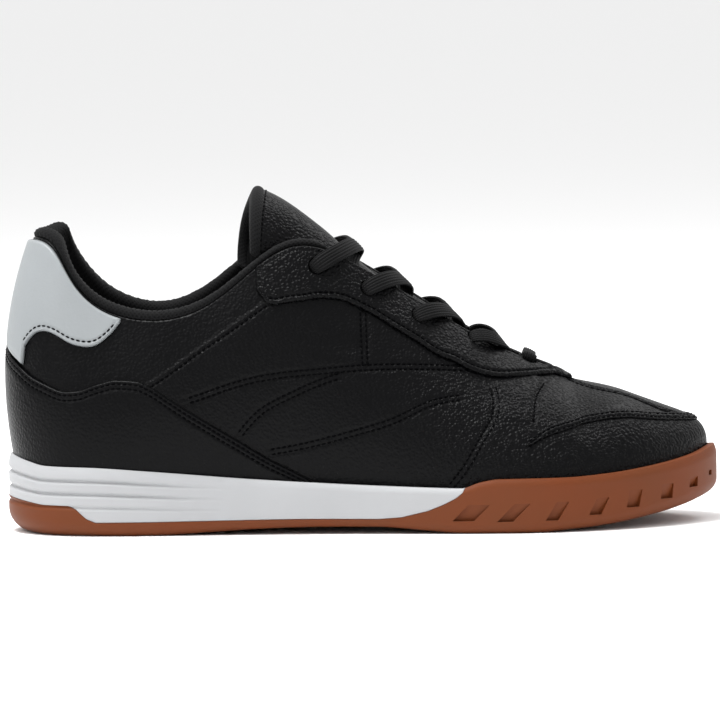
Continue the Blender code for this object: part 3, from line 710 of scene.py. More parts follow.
@dataclass(frozen=True)
class Seam:
    """A sewn line on the upper in lateral side view.

    The rows are offsets of the stitch rows across the line. Step is how far the panel on one side of it
    stands above the other, pucker the ridge that sewing gathers between the rows, and trough the depth of
    a soft crease with banks of its width.
    """

    name: str
    x: tuple[float, ...]
    z: tuple[float, ...]
    rows: tuple[float, ...] = ()
    step: float = 0.0
    pucker: float = 0.0
    trough: float = 0.0
    width: float = 0.5


PAIR = (-0.8, 0.8)
SEAMS = (
    Seam(
        "upper_arc",
        (-52.4, -40, -24.6, -9.1, 0.2, 24.9, 32.0),
        (41.4, 45.5, 48.7, 50, 50.7, 50.2, 49.6),
        PAIR,
        pucker=0.24,
    ),
    Seam("middle_arc", (-36.9, -30.7, -23.3, -15.3, -6), (30.7, 37.4, 41.6, 45.2, 48.4), PAIR, pucker=0.24),
    Seam(
        "lower_arc",
        (-27.7, -12.2, 0.2, 12.5, 21.8, 31.1),
        (25.2, 28.2, 31.5, 35.6, 39.7, 41.2),
        PAIR,
        pucker=0.24,
    ),
    Seam("quarter", (-64.7, -50.8, -38.5, -28.3), (46.7, 56, 64.1, 71), (-1.2,), -0.45),
    Seam("throat", (1.3, 1.7), (67.4, 51.6), PAIR, pucker=0.12),
    Seam(
        "forefoot",
        (27.3, 32.3, 36.6, 40.4, 41.6, 40.6),
        (14.2, 20.7, 28, 34, 38.5, 44.0),
        (-0.8, 0.9),
        -0.4,
    ),
    Seam(
        "toe_centre",
        (63.5, 68.1, 75.6, 83.9, 91.3, 99.7),
        (45.2, 42.9, 41, 38.6, 35.4, 32.2),
        (-0.9, 0.9),
        pucker=0.45,
    ),
    Seam("insert", (55.8, 52.6, 52.0), (44.6, 39.0, 34.0), (1.0,), -0.5),
    Seam("flex_crease_1", (45, 49, 51), (41, 36, 30), trough=0.2, width=2.4),
    Seam("flex_crease_2", (39, 43, 46), (38, 33, 26), trough=0.25, width=2.6),
    Seam("flex_crease_3", (61, 66, 69), (28, 24, 20), trough=0.3, width=1.8),
    Seam("quarter_crease", (-20, -8, 4), (62, 58, 57), trough=0.3, width=2.4),
)


@dataclass
class Relief:
    """Low forms of the upper: seams, laps and creases, as heights above its skin."""

    last: Last
    seams: tuple[Seam, ...] = SEAMS
    groove: float = 0.5
    groove_width: float = 0.42
    lap_width: float = 0.3
    lap_run: float = 9.0
    pucker_pitch: float = 3.4
    pucker_width: float = 0.6
    crease_end: float = 4.0
    end_fade: float = 1.2
    end_full: float = 0.5
    gather: float = 0.35
    bank_share: float = 0.5

    def __post_init__(self) -> None:
        """Find every seam's places once."""
        self.traces = {seam.name: self.last.trace(seam.x, seam.z) for seam in self.seams}

    def line(self, side: Side, name: str) -> tuple[Array, Array, Array, Array]:
        """Return a seam's points and its directions along, out and across on a side.

        Args:
            side: Side of the shoe.
            name: The seam's name.

        Returns:
            Points, and directions along, out and across.
        """
        q, t = self.traces[name]
        points = self.last.skin(side, q, t)
        out = self.last.normal(side, q, t)
        ahead = unit(np.gradient(points, axis=0))
        across = unit(np.cross(out, ahead)) * -side.value
        return points, ahead, out, across

    def height(self, side: Side, points: Array) -> Array:
        """Return the height of the relief at points of the skin.

        Args:
            side: Side of the shoe.
            points: Points of the skin, any shape x 3.

        Returns:
            The heights.
        """
        flat = points.reshape(-1, 3)
        total = np.zeros(len(flat))
        for seam in self.seams:
            line, ahead, _, across = self.line(side, seam.name)
            reach = 4 * max(seam.width, 1.0) + (2 * self.lap_run if seam.step else 3.0)
            near = np.flatnonzero(np.all((flat > line.min(0) - reach) & (flat < line.max(0) + reach), axis=1))
            if not len(near):
                continue
            apart = flat[near][:, None] - line[None]
            index = np.argmin((apart**2).sum(-1), axis=1)
            apart = apart[np.arange(len(near)), index]
            offset = (apart * across[index]).sum(-1)
            beyond = np.abs((apart * ahead[index]).sum(-1))
            fade = np.exp(-((np.maximum(beyond - self.end_full, 0) / self.end_fade) ** 2))
            run = run_of(line)[index]
            lift = np.zeros(len(near))
            for row in seam.rows:
                lift -= self.groove * np.exp(-(((offset - row) / self.groove_width) ** 2))
            gather = 1 - self.gather + self.gather * np.sin(2 * math.pi * run / self.pucker_pitch)
            lift += seam.pucker * gather * np.exp(-((offset / self.pucker_width) ** 2))
            if seam.trough:
                taper = eased(run / self.crease_end) * eased((run_of(line)[-1] - run) / self.crease_end)
                lift -= seam.trough * taper * np.exp(-((offset / seam.width) ** 2))
                banks = np.exp(-(((np.abs(offset) - 2 * seam.width) / seam.width) ** 2))
                lift += self.bank_share * seam.trough * taper * banks
            if seam.step:
                side_of = 0.5 + 0.5 * np.tanh(np.sign(seam.step) * offset / self.lap_width)
                lift += abs(seam.step) * side_of * np.exp(-((np.abs(offset) / self.lap_run) ** 2))
            total[near] += lift * fade
        return total.reshape(points.shape[:-1])


class Thread:
    """Sewing thread: short stitches gathered from every seam and made as one joined mesh."""

    def __init__(
        self,
        length: float = 1.35,
        width: float = 0.55,
        height: float = 0.4,
        pitch: float = 1.75,
    ) -> None:
        """Hold the stitch's size and the rows to sew.

        Args:
            length: Length of a stitch.
            width: Its width.
            height: Its height.
            pitch: Distance from stitch to stitch.
        """
        self.size = np.array((length, width, height))
        self.pitch = pitch
        self.places: list[Array] = []
        self.axes: list[Array] = []

    def sew(self, points: Array, out: Array) -> None:
        """Add a row of stitches along a line of points with their outward directions.

        Args:
            points: The line.
            out: Outward direction at each point.
        """
        run = run_of(points)
        spots = np.arange(self.pitch / 2, run[-1], self.pitch)
        ahead = unit(sample(spots, run, np.gradient(points, run, axis=0)))
        across = unit(np.cross(unit(sample(spots, run, out)), ahead))
        self.places.append(sample(spots, run, points))
        self.axes.append(np.stack([ahead, across, np.cross(ahead, across)], -2))

    def build(self, name: str, finish: Material, slot: str) -> Object:
        """Make all rows one piece.

        Args:
            name: Name of the piece.
            finish: Its material.
            slot: The record's material slot.

        Returns:
            The piece.
        """
        bead = bmesh.new()
        bmesh.ops.create_uvsphere(bead, u_segments=6, v_segments=4, radius=0.5)
        bead.verts.ensure_lookup_table()
        form = np.array([v.co for v in bead.verts])[:, [2, 0, 1]] * self.size
        faces = [[v.index for v in face.verts] for face in bead.faces]
        bead.free()
        place = np.concatenate(self.places)
        axes = np.concatenate(self.axes)
        points = place[:, None] + np.einsum("vk,nkc->nvc", form, axes)
        count = len(form)
        mesh = bpy.data.meshes.new(name)
        rings = [[k + n * count for k in ring] for n in range(len(place)) for ring in faces]
        mesh.from_pydata((points.reshape(-1, 3) * MM).tolist(), [], rings)
        mesh.shade_smooth()
        return as_piece(name, mesh, [finish], slot)


@dataclass
class Upper:
    """The hollow leather upper with its sewn relief, and the overlays that lie on it."""

    last: Last
    relief: Relief
    thread: Thread
    columns: int = 380
    rows: int = 100
    inner_rows: int = 12
    edge_round: float = 1.0
    counter_rows: tuple[float, float] = (-1.3, -2.9)
    tab_row: float = 1.6
    eyestay_row: float = 1.9
    toe_seam_row: float = 0.85
    groove_width: float = 0.45
    ridge_run: float = 300.0
    grain_back: float = 0.55
    grain_from_x: float = 5.0
    grain_run: float = 30.0
    rim_grain: float = 0.3
    counter_sunk: float = 0.15
    tab_sunk: float = 0.12
    thread_sunk: float = 0.2
    eyestay_sewn_top: float = 0.93
    eyestay_back: int = 8
    dimple_reach: float = 1.6
    eyelets: Table = table(
        x=(-12.9, 2.75, 18.1, 35.1, 51.7),
        z=(80.9, 73.6, 64.8, 57.3, 50.9),
    )
    eyelet_radius: float = 2.7
    eyelet_dimple: float = 1.9
    punch_length: float = 8.0
    eyestay_edge: Table = table(
        x=(-31.4, -28, -24.6, -18.4, -11.4, -4.4, 2.75, 9.7, 16.8, 24.9, 28.9, 33.8, 38.8, 50.5, 60.4),
        z=(74.7, 70.5, 69.9, 70.8, 71.5, 70.4, 67, 62.6, 58.2, 52.9, 51.3, 48.5, 46.8, 46.0, 46.0),
    )
    eyestay_front_x: float = 71.5
    counter_edge: Table = table(
        x=(
            -104.9, -98.7, -92.2, -86.4, -79.9, -74, -68.2, -64.1, -58.3, -51.8, -43.5, -36.9, -28.7, -22,
            -17.5, -13.5,
        ),
        z=(52.8, 47.9, 44.9, 44.6, 46.6, 47.8, 47.4, 45.7, 41.9, 37.7, 32.6, 28.6, 23.5, 20.0, 17.6, 15.3),
    )
    counter_back_z: float = 57.8
    counter_foot_z: float = 13.2
    tab_edge: Table = table(
        x=(-102.6, -100.5, -98.1, -95.5, -92.2, -88.4, -83.6, -80.8, -76.5, -72.8),
        z=(57.7, 60.7, 62.4, 62.5, 61.1, 58.9, 57.8, 58.2, 61.2, 65.4),
    )
    tab_seam: float = 0.012
    tab_top: float = 0.988
    toe_seam: Table = table(
        x=(50.2, 59.0, 70.0, 85.0, 97.0),
        z=(26.2, 30.8, 33.4, 33.8, 32.2),
    )
    toe_seam_tip: float = 0.57
    toe_seam_width: float = 3.4
    toe_seam_height: float = 0.6

    def edge_of(
        self,
        points: Table,
        more: tuple[float, float] | None = None,
    ) -> tuple[Callable, float, float]:
        """Return an overlay's edge as a share of the ribs, with the first and last station.

        Args:
            points: Points of the edge in lateral side view.
            more: One more (q, t) that the edge runs to.

        Returns:
            The edge as a function of q, its first q and its last q.
        """
        q, t = self.last.locate(points["x"], points["z"])
        pairs = sorted([*zip(q.tolist(), t.tolist()), *([more] if more else [])])
        places = [pair[0] for pair in pairs]
        return curve(places, [pair[1] for pair in pairs], Ends.STEADY), places[0], places[-1]

    def build(self, black: Material, lining: Material) -> None:
        """Make the upper's wall: an outside with relief, a plain inside and the rims between them.

        Args:
            black: Its leather.
            lining: Its inside.
        """
        q = np.linspace(0, 1, self.columns + 1)
        q[np.argmin(np.abs(q - self.last.zip_q))] = self.last.zip_q
        made = Sculpt("upper")
        holes = self.last.locate(self.eyelets["x"], self.eyelets["z"])
        for side in Side:
            places = np.meshgrid(q, np.linspace(0, 1, self.rows + 1), indexing="ij")
            skin = self.last.skin(side, *places)
            lift = self.relief.height(side, skin)
            for hole in self.last.skin(side, *holes):
                near = np.linalg.norm(skin - hole, axis=-1) / self.eyelet_radius
                lift = lift - self.eyelet_dimple * eased(self.dimple_reach - near)
            lift = np.where(self.last.joined(*places), 0.0, lift)
            outer = skin + lift[..., None] * self.last.normal(side, *places)
            front = eased((skin[..., 0] - self.grain_from_x) / self.grain_run)
            made.sheet(outer, self.grain_back + (1 - self.grain_back) * front)
            places = np.meshgrid(q, np.linspace(0, 1, self.inner_rows + 1), indexing="ij")
            inner = self.last.at(side, *places, -WALL)
            made.sheet(inner, self.rim_grain, finish=1)
            made.sheet(np.stack([outer[:, 0], inner[:, 0]], 1), self.rim_grain)
            open_top = q <= self.last.zip_q
            made.sheet(np.stack([outer[open_top, -1], inner[open_top, -1]], 1), self.rim_grain)
        made.done([black, lining], "black_leather", ["upper"])

    def panel(
        self,
        name: str,
        finish: Material,
        slot: str,
        q: Array,
        low: Array,
        high: Array,
        rows: int,
        *,
        grain: float,
        open_start: bool = False,
        open_end: bool = False,
        height: float = PANEL,
        grooves: Sequence[tuple[float, float]] = (),
        wave: float = 0.0,
    ) -> Object:
        """Make an overlay on both sides, with rolled edges.

        Args:
            name: Name of the piece and of the CAD node that it stands for.
            finish: Its material.
            slot: The record's material slot.
            q: Stations along the shoe.
            low: Share of the ribs at its lower edge.
            high: Share of the ribs at its upper edge.
            rows: Rows of the grid.
            grain: Strength of the leather's grain.
            open_start: Whether the first station is a cut edge.
            open_end: Whether the last station is a cut edge.
            height: Height above the seat.
            grooves: Sewn rows as (distance in from the lower edge, depth); a negative distance counts
                from the top.
            wave: Height of the sewn gathers.

        Returns:
            The piece.
        """
        made = Sculpt(name)
        share = np.linspace(0, 1, rows + 1)
        share = 0.5 * share + 0.5 * (1 - np.cos(math.pi * share)) / 2
        for side in Side:
            t = low[:, None] + share * (high - low)[:, None]
            station = np.broadcast_to(q[:, None], t.shape)
            rib = self.last.rib_length(side, q)[:, None]
            skin = self.last.skin(side, station, t)
            run = np.stack([run_of(skin[:, k]) for k in (0, rows // 2)]).mean(0)[:, None]
            from_low = (t - low[:, None]) * rib
            ridge = np.maximum(station - self.last.zip_q, 0) * self.ridge_run * (high[:, None] > 0.999)
            from_high = (high[:, None] - t) * rib + ridge
            border = np.minimum(from_low, from_high)
            if open_start:
                border = np.minimum(border, run)
            if open_end:
                border = np.minimum(border, run[-1] - run)
            rolled = np.clip(border / self.edge_round, 0, 1)
            lift = SEAT + height * np.sqrt(1 - (1 - rolled) ** 2)
            for inset, depth in grooves:
                near = np.minimum(from_low, run) if open_start else from_low
                away = (near if inset > 0 else from_high) - abs(inset)
                sunk = depth * np.exp(-((away / self.groove_width) ** 2))
                lift = lift - sunk * eased(border / self.edge_round)
            lift = lift + wave * np.sin(2 * math.pi * run / self.relief.pucker_pitch) * rolled
            normal = self.last.normal(side, station, t)
            flat = np.full_like(lift, SEAT)
            made.sheet(skin + lift[..., None] * normal, grain)
            made.sheet(skin + flat[..., None] * normal, grain)
        return made.done([finish], slot, [name])

    def sew_edge(self, q: Array, edge: Array, insets: Sequence[float], lift: float) -> None:
        """Sew rows along an overlay's edge on both sides.

        Args:
            q: Stations along the shoe.
            edge: Share of the ribs at the edge.
            insets: Distance of each row up the ribs from the edge.
            lift: Height of the thread's middle above the skin.
        """
        for side in Side:
            for inset in insets:
                t = np.clip(edge + inset / self.last.rib_length(side, q), 0, 1)
                self.thread.sew(self.last.at(side, q, t, lift), self.last.normal(side, q, t))

    def build_counter(self, black: Material) -> Callable:
        """Make the heel counter with its two sewn rows, and return its upper edge.

        Args:
            black: Its leather.

        Returns:
            Its upper edge as a share of the ribs, by q.
        """
        back = float(self.last.share_at(Side.LATERAL, np.zeros(1), np.full(1, self.counter_back_z))[0])
        edge, _, last_q = self.edge_of(self.counter_edge, (0.0, back))
        q = np.linspace(0, last_q, 190)
        foot = self.last.share_at(Side.LATERAL, q, np.full_like(q, self.counter_foot_z))
        top = np.maximum(edge(q), foot + 0.02)
        self.panel(
            "heel_counter", black, "black_leather", q, foot, top, 46,
            grain=0.4, open_end=True, grooves=[(row, 0.35) for row in self.counter_rows],
        )
        self.sew_edge(q[2:-3], top[2:-3], self.counter_rows, SEAT + PANEL - self.counter_sunk)
        return edge

    def build_tab(self, white: Material, counter: Callable) -> None:
        """Make the white heel tab, bare, with one sewn row inside its lower edge.

        Args:
            white: Its leather.
            counter: The heel counter's upper edge.
        """
        edge, first_q, last_q = self.edge_of(self.tab_edge)
        q = np.linspace(0, last_q, 120)
        low = np.maximum(np.where(q < first_q, 0, edge(q)), counter(q) + self.tab_seam)
        self.panel(
            "heel_tab", white, "white_leather", q, low, np.full_like(q, self.tab_top), 36,
            grain=0.25, open_end=True, grooves=((self.tab_row, 0.3),),
        )
        sewn = q > first_q
        self.sew_edge(q[sewn][:-3], low[sewn][:-3], (self.tab_row,), SEAT + PANEL - self.tab_sunk)

    def build_eyestay(self, black: Material) -> None:
        """Make the eyestay with its rolled rim, sewn row and punched holes.

        Args:
            black: Its leather.
        """
        edge, first_q, _ = self.edge_of(self.eyestay_edge)
        q = np.linspace(first_q, float(self.last.along(self.eyestay_front_x)), 270)
        q[np.argmin(np.abs(q - self.last.zip_q))] = self.last.zip_q
        low = edge(q)
        piece = self.panel(
            "eyestay", black, "black_leather", q, low, np.ones_like(q), 40,
            grain=1.0, open_start=True, open_end=True, grooves=((self.eyestay_row, 0.5), (-1.7, 0.18)),
        )
        lift = SEAT + PANEL - self.thread_sunk
        sewn = low + self.eyestay_row / self.last.rib_length(Side.LATERAL, q) < self.eyestay_sewn_top
        sewn[: self.eyestay_back + 1] = False
        self.sew_edge(q[sewn], low[sewn], (self.eyestay_row,), lift)
        back = np.linspace(float(low[self.eyestay_back]) + 0.03, 0.97, 40)
        for side in Side:
            station = np.full_like(back, q[self.eyestay_back])
            out = self.last.normal(side, station, back)
            self.thread.sew(self.last.at(side, station, back, lift), out)
        cut(piece, self.hole_cutter())

    def hole_cutter(self) -> bmesh.types.BMesh:
        """Return the punches of the lace holes as one mesh.

        Returns:
            The mesh.
        """
        punch = bmesh.new()
        q, t = self.last.locate(self.eyelets["x"], self.eyelets["z"])
        for side in Side:
            for place, axis in zip(self.last.skin(side, q, t), self.last.normal(side, q, t)):
                turn = Vector((0, 0, 1)).rotation_difference(Vector(axis)).to_matrix().to_4x4()
                turn.translation = Vector(place * MM)
                radius = self.eyelet_radius * MM
                size = {"radius1": radius, "radius2": radius, "depth": self.punch_length * MM}
                bmesh.ops.create_cone(punch, cap_ends=True, segments=28, matrix=turn, **size)
        return punch

    def build_toe_seam(self, black: Material) -> None:
        """Make the gathered ridge round the toe between its two sewn rows.

        Args:
            black: Its leather.
        """
        edge, first_q, _ = self.edge_of(self.toe_seam, (1.0, self.toe_seam_tip))
        q = np.linspace(first_q, 1.0, 220)
        half = self.toe_seam_width / 2 / self.last.rib_length(Side.LATERAL, q)
        half = half * np.sqrt(np.clip((q - first_q) / 0.03, 0.01, 1))
        middle = edge(q)
        self.panel(
            "toe_seam", black, "black_leather", q, middle - half, middle + half, 12,
            grain=0.8, open_start=True, height=self.toe_seam_height, wave=0.1,
            grooves=((self.toe_seam_row, 0.4), (-self.toe_seam_row, 0.4)),
        )
        for offset in (-self.toe_seam_row, self.toe_seam_row):
            self.sew_edge(q[2:], middle[2:], (offset,), SEAT + self.toe_seam_height - self.thread_sunk)

    def sew_relief(self) -> None:
        """Sew the rows of every seam on both sides."""
        for side in Side:
            for seam in self.relief.seams:
                points, _, out, across = self.relief.line(side, seam.name)
                for row in seam.rows:
                    proud = abs(seam.step) if row * seam.step > 0 else 0.0
                    self.thread.sew(points + row * across + (proud - 0.05) * out, out)


@dataclass
class Collar:
    """The padded knit collar, rolled over the upper's rim from one throat corner to the other."""

    last: Last
    stations: int = 420
    around: int = 44
    section: Table = table(
        inward=(0.2, -0.3, 0.7, 2.6, 4.8, 5.9, 5.9, 4.8, 3.3, 2.4, 2.3, 2.3),
        up=(0.35, 1.6, 3.2, 3.8, 3.2, 1.0, -4, -10, -16, -16, -8, 0.35),
    )
    foot: float = 0.35
    thin: Table = table(
        x=(-60, -44, -30, -22, -14, -10),
        depth=(5.9, 4.8, 3.4, 3.2, 3.0, 3.0),
        roll=(1.0, 1.0, 0.95, 0.9, 0.8, 0.5),
        hang=(1.0, 1.0, 0.9, 0.6, 0.4, 0.35),
    )
    rib_pitch: float = 1.6
    rib_height: float = 0.19
    rib_slant: float = 0.8
    rib_fades: tuple[float, float] = (1.0, 12.0)
    backing_gap: float = 0.05

    def ring(self, side: Side, q: float, inward: Array, up: Array) -> Array:
        """Return the section at a station, hugging the wall below the rim and rolled over above it.

        Args:
            side: Side of the shoe.
            q: The station.
            inward: Section's distances from the skin.
            up: Section's heights from the rim.

        Returns:
            Points of the section.
        """
        x = self.last.length_at(q)
        columns = [self.thin[name] for name in ("depth", "roll", "hang")]
        depth, roll, hang = (curve(self.thin["x"], column, Ends.STEADY)(x) for column in columns)
        backed = WALL + self.backing_gap
        thinned = backed + (inward - backed) * (depth - backed) / (max(self.section["inward"]) - backed)
        inward = np.where(inward > backed, thinned, inward)
        hung = np.where(up < 0, up * hang, up)
        up = np.where(up > self.foot, self.foot + (up - self.foot) * roll, hung)
        shares = np.linspace(1, 0, 60)
        drops = run_of(self.last.skin(side, np.full_like(shares, q), shares))
        t = np.interp(np.maximum(-up, 0), drops, shares)
        station = np.full_like(t, q)
        wall = self.last.skin(side, station, t) - inward[:, None] * self.last.normal(side, station, t)
        rising = unit(self.last.skin(side, q, 1.0) - self.last.skin(side, q, 0.995))
        if q == 0:
            rising[1] = 0.0
        return wall + np.maximum(up, 0)[:, None] * rising

    def build(self, knit: Material) -> None:
        """Make the roll and the lining below it, with the knit's slanted ribs raised.

        Args:
            knit: Its material.
        """
        closed = {name: np.append(values, values[0]) for name, values in self.section.items()}
        run = run_of(np.column_stack([closed["inward"], closed["up"]]))
        even = np.linspace(0, run[-1], self.around + 1)
        inward = curve(run, closed["inward"], Ends.STEADY)(even)
        up = curve(run, closed["up"], Ends.STEADY)(even)
        q = np.linspace(0.0, float(self.last.along(self.thin["x"][-1])), self.stations // 2)
        rings = [self.ring(Side.LATERAL, k, inward, up) for k in q[::-1]]
        rings += [self.ring(Side.MEDIAL, k, inward, up) for k in q[1:]]
        points = np.array(rings)
        points[:, -1] = points[:, 0]
        length = run_of(points[:, 6])
        weave = np.stack(np.broadcast_arrays(length[:, None], even[None, :]), -1)
        out = unit(np.cross(np.gradient(points, axis=0), np.gradient(points, axis=1)))
        ribs = np.sin(2 * math.pi * (weave[..., 0] + self.rib_slant * weave[..., 1]) / self.rib_pitch)
        shown = eased(even / self.rib_fades[0]) * eased((run[-1] - even) / self.rib_fades[1])
        points = points - (self.rib_height * ribs * shown)[..., None] * out
        made = Sculpt("collar_lining")
        made.sheet(points, 0.0, weave)
        made.done([knit], "black_knit", ["collar_lining"])


@dataclass
class Tongue:
    """The padded tongue, its leather face and its knit-bound top edge."""

    last: Last
    rows: int = 150
    columns: int = 90
    middle: float = 4.2
    edge: float = 1.8
    first_row: float = 0.022
    wrap: tuple[float, float] = (0.12, 0.335)
    wrap_end: float = 0.24
    fall: tuple[float, float] = (1.35, 0.45)
    fall_end: float = 1.5
    binding: tuple[float, float] = (2.0, 0.5)
    binding_stations: int = 160
    binding_around: int = 37
    binding_flatness: float = 0.7
    binding_row: float = 0.034
    edge_sunk: float = 0.9
    edge_round: float = 1.2
    edge_scale: float = 12.0
    shape: Table = table(
        x=(-31.2, -25.4, -19.8, -14.7, -9.7, -4.8, 5, 15, 30, 45, 60),
        z=(105.2, 102.6, 99.1, 95.2, 91.1, 86.5, 77.6, 70.2, 59.8, 49.8, 41.4),
        half=(19.0, 17.8, 16.4, 16.0, 16.4, 16.8, 16.2, 15.0, 13.4, 11.4, 9.0),
        drop=(17.0, 17.0, 15.5, 13.0, 11.5, 11.0, 10.4, 9.0, 7.0, 4.7, 2.2),
        lateral_back=(0.8, 3.0, 5.5, 7.0, 7.5, 8.3, 7.5, 6.3, 4.6, 3.0, 1.4),
        medial_back=(5.4, 6.4, 7.5, 7.5, 7.5, 8.3, 7.5, 6.3, 4.6, 3.0, 1.4),
    )

    def __post_init__(self) -> None:
        """Make the smooth columns."""
        knots = np.linspace(0, 1, len(self.shape["x"]))
        self.column_at = {name: curve(knots, values) for name, values in self.shape.items()}

    def skin(self, row: Array, column: Array) -> Array:
        """Return points of the outside: row 0 top to 1 front, column -1 lateral to 1 medial edge.

        Args:
            row: Places along.
            column: Places across.

        Returns:
            The points.
        """
        x, z, half, drop, lateral, medial = (at(row) for at in self.column_at.values())
        radius = (half**2 + drop**2) / (2 * drop)
        angle = column * np.arctan2(half, radius - drop)
        sink = radius * (1 - np.cos(angle)) / drop
        low = np.minimum(sink, self.fall_end)
        back = np.where(column < 0, lateral, medial) * (self.fall[0] - self.fall[1] * low) * low
        return np.stack([x - back, radius * np.sin(angle), z - drop * sink], -1)

    def normal(self, row: Array, column: Array) -> Array:
        """Return the outward directions.

        Args:
            row: Places along.
            column: Places across.

        Returns:
            Directions of length one.
        """
        row, column = np.broadcast_arrays(np.asarray(row, float), np.asarray(column, float))
        ahead = self.skin(np.clip(row + STEP, 0, 1), column) - self.skin(np.clip(row - STEP, 0, 1), column)
        across = self.skin(row, column + STEP) - self.skin(row, column - STEP)
        return unit(np.cross(ahead, across))

    def columns_at(self, row: Array, share: Array) -> Array:
        """Return the column at a share across, the edges drawn down to the collar near the top.

        Args:
            row: Places along.
            share: Share across, 0 to 1.

        Returns:
            Places across.
        """
        wrap = 1 - eased(row / self.wrap_end)
        low = -1 - self.wrap[0] * wrap
        return low + share * (1 + self.wrap[1] * wrap - low)

    def above(self, x: float, y: float, lift: float) -> Places:
        """Return a point this far above the tongue and the direction out of it.

        Args:
            x: Length of the point.
            y: Its place across.
            lift: Its height above the face.

        Returns:
            The point and the direction.
        """
        rows = np.linspace(0, 1, 400)
        row = np.interp(x, self.skin(rows, 0 * rows)[:, 0], rows)
        columns = np.linspace(-1, 1, 400)
        column = np.interp(y, self.skin(np.full_like(columns, row), columns)[:, 1], columns)
        out = self.normal(row, column)
        return self.skin(row, column) + lift * out, out

    def depth(self, column: Array) -> Array:
        """Return the padding's thickness across the tongue."""
        return self.edge + (self.middle - self.edge) * np.clip(1 - column**2, 0, 1)

    def build(self, black: Material, knit: Material, thread: Thread) -> None:
        """Make the tongue's two faces, rounded at the edges, and its binding.

        Args:
            black: Leather of its outside.
            knit: Knit of its inside and binding.
            thread: Thread to sew with.
        """
        row, share = np.meshgrid(
            np.linspace(self.first_row, 1, self.rows), np.linspace(0, 1, self.columns), indexing="ij"
        )
        column = self.columns_at(row, share)
        out = self.normal(row, column)
        skin = self.skin(row, column)
        rim = np.minimum(np.minimum(share, 1 - share) * 2, 4 * (1 - row)) * self.edge_scale
        sunk = self.edge_sunk * (1 - np.sqrt(1 - (1 - np.clip(rim / self.edge_round, 0, 1)) ** 2))
        outer = skin - sunk[..., None] * out
        inner = skin - np.maximum(self.depth(column) - sunk, sunk)[..., None] * out
        made = Sculpt("tongue")
        made.sheet(outer, 1.0)
        lengths = np.stack([skin[..., 0], skin[..., 1]], -1)
        made.sheet(inner, 0.0, lengths, finish=1)
        made.done([black, knit], "black_leather", ["tongue"])
        self.bind(knit, thread)

    def bind(self, knit: Material, thread: Thread) -> None:
        """Make the knit strip that wraps the top edge.

        Args:
            knit: Its material.
            thread: Thread to sew with.
        """
        row = np.full(self.binding_stations, self.first_row)
        column = self.columns_at(row, np.linspace(0, 1, self.binding_stations))
        middle = self.skin(row, column) - (self.depth(column) / 2)[:, None] * self.normal(row, column)
        ahead = unit(self.skin(row + 0.01, column) - self.skin(row, column))
        out = self.normal(row, column)
        along, proud = self.binding
        turns = np.linspace(0, 2 * math.pi, self.binding_around)
        sine, cosine = np.sin(turns)[None, :, None], np.cos(turns)[None, :, None]
        thick = (self.depth(column) / 2 + proud)[:, None, None]
        flat = np.sign(sine) * np.abs(sine) ** self.binding_flatness
        points = middle[:, None] + along * cosine * ahead[:, None] + thick * flat * out[:, None]
        points[:, -1] = points[:, 0]
        length = run_of(middle)
        weave = np.stack(np.broadcast_arrays(length[:, None], (turns * along)[None, :]), -1)
        made = Sculpt("tongue_binding")
        made.sheet(points, 0.0, weave)
        made.done([knit], "black_knit")
        row = row + self.binding_row
        thread.sew(self.skin(row, column) + 0.05 * self.normal(row, column), self.normal(row, column))


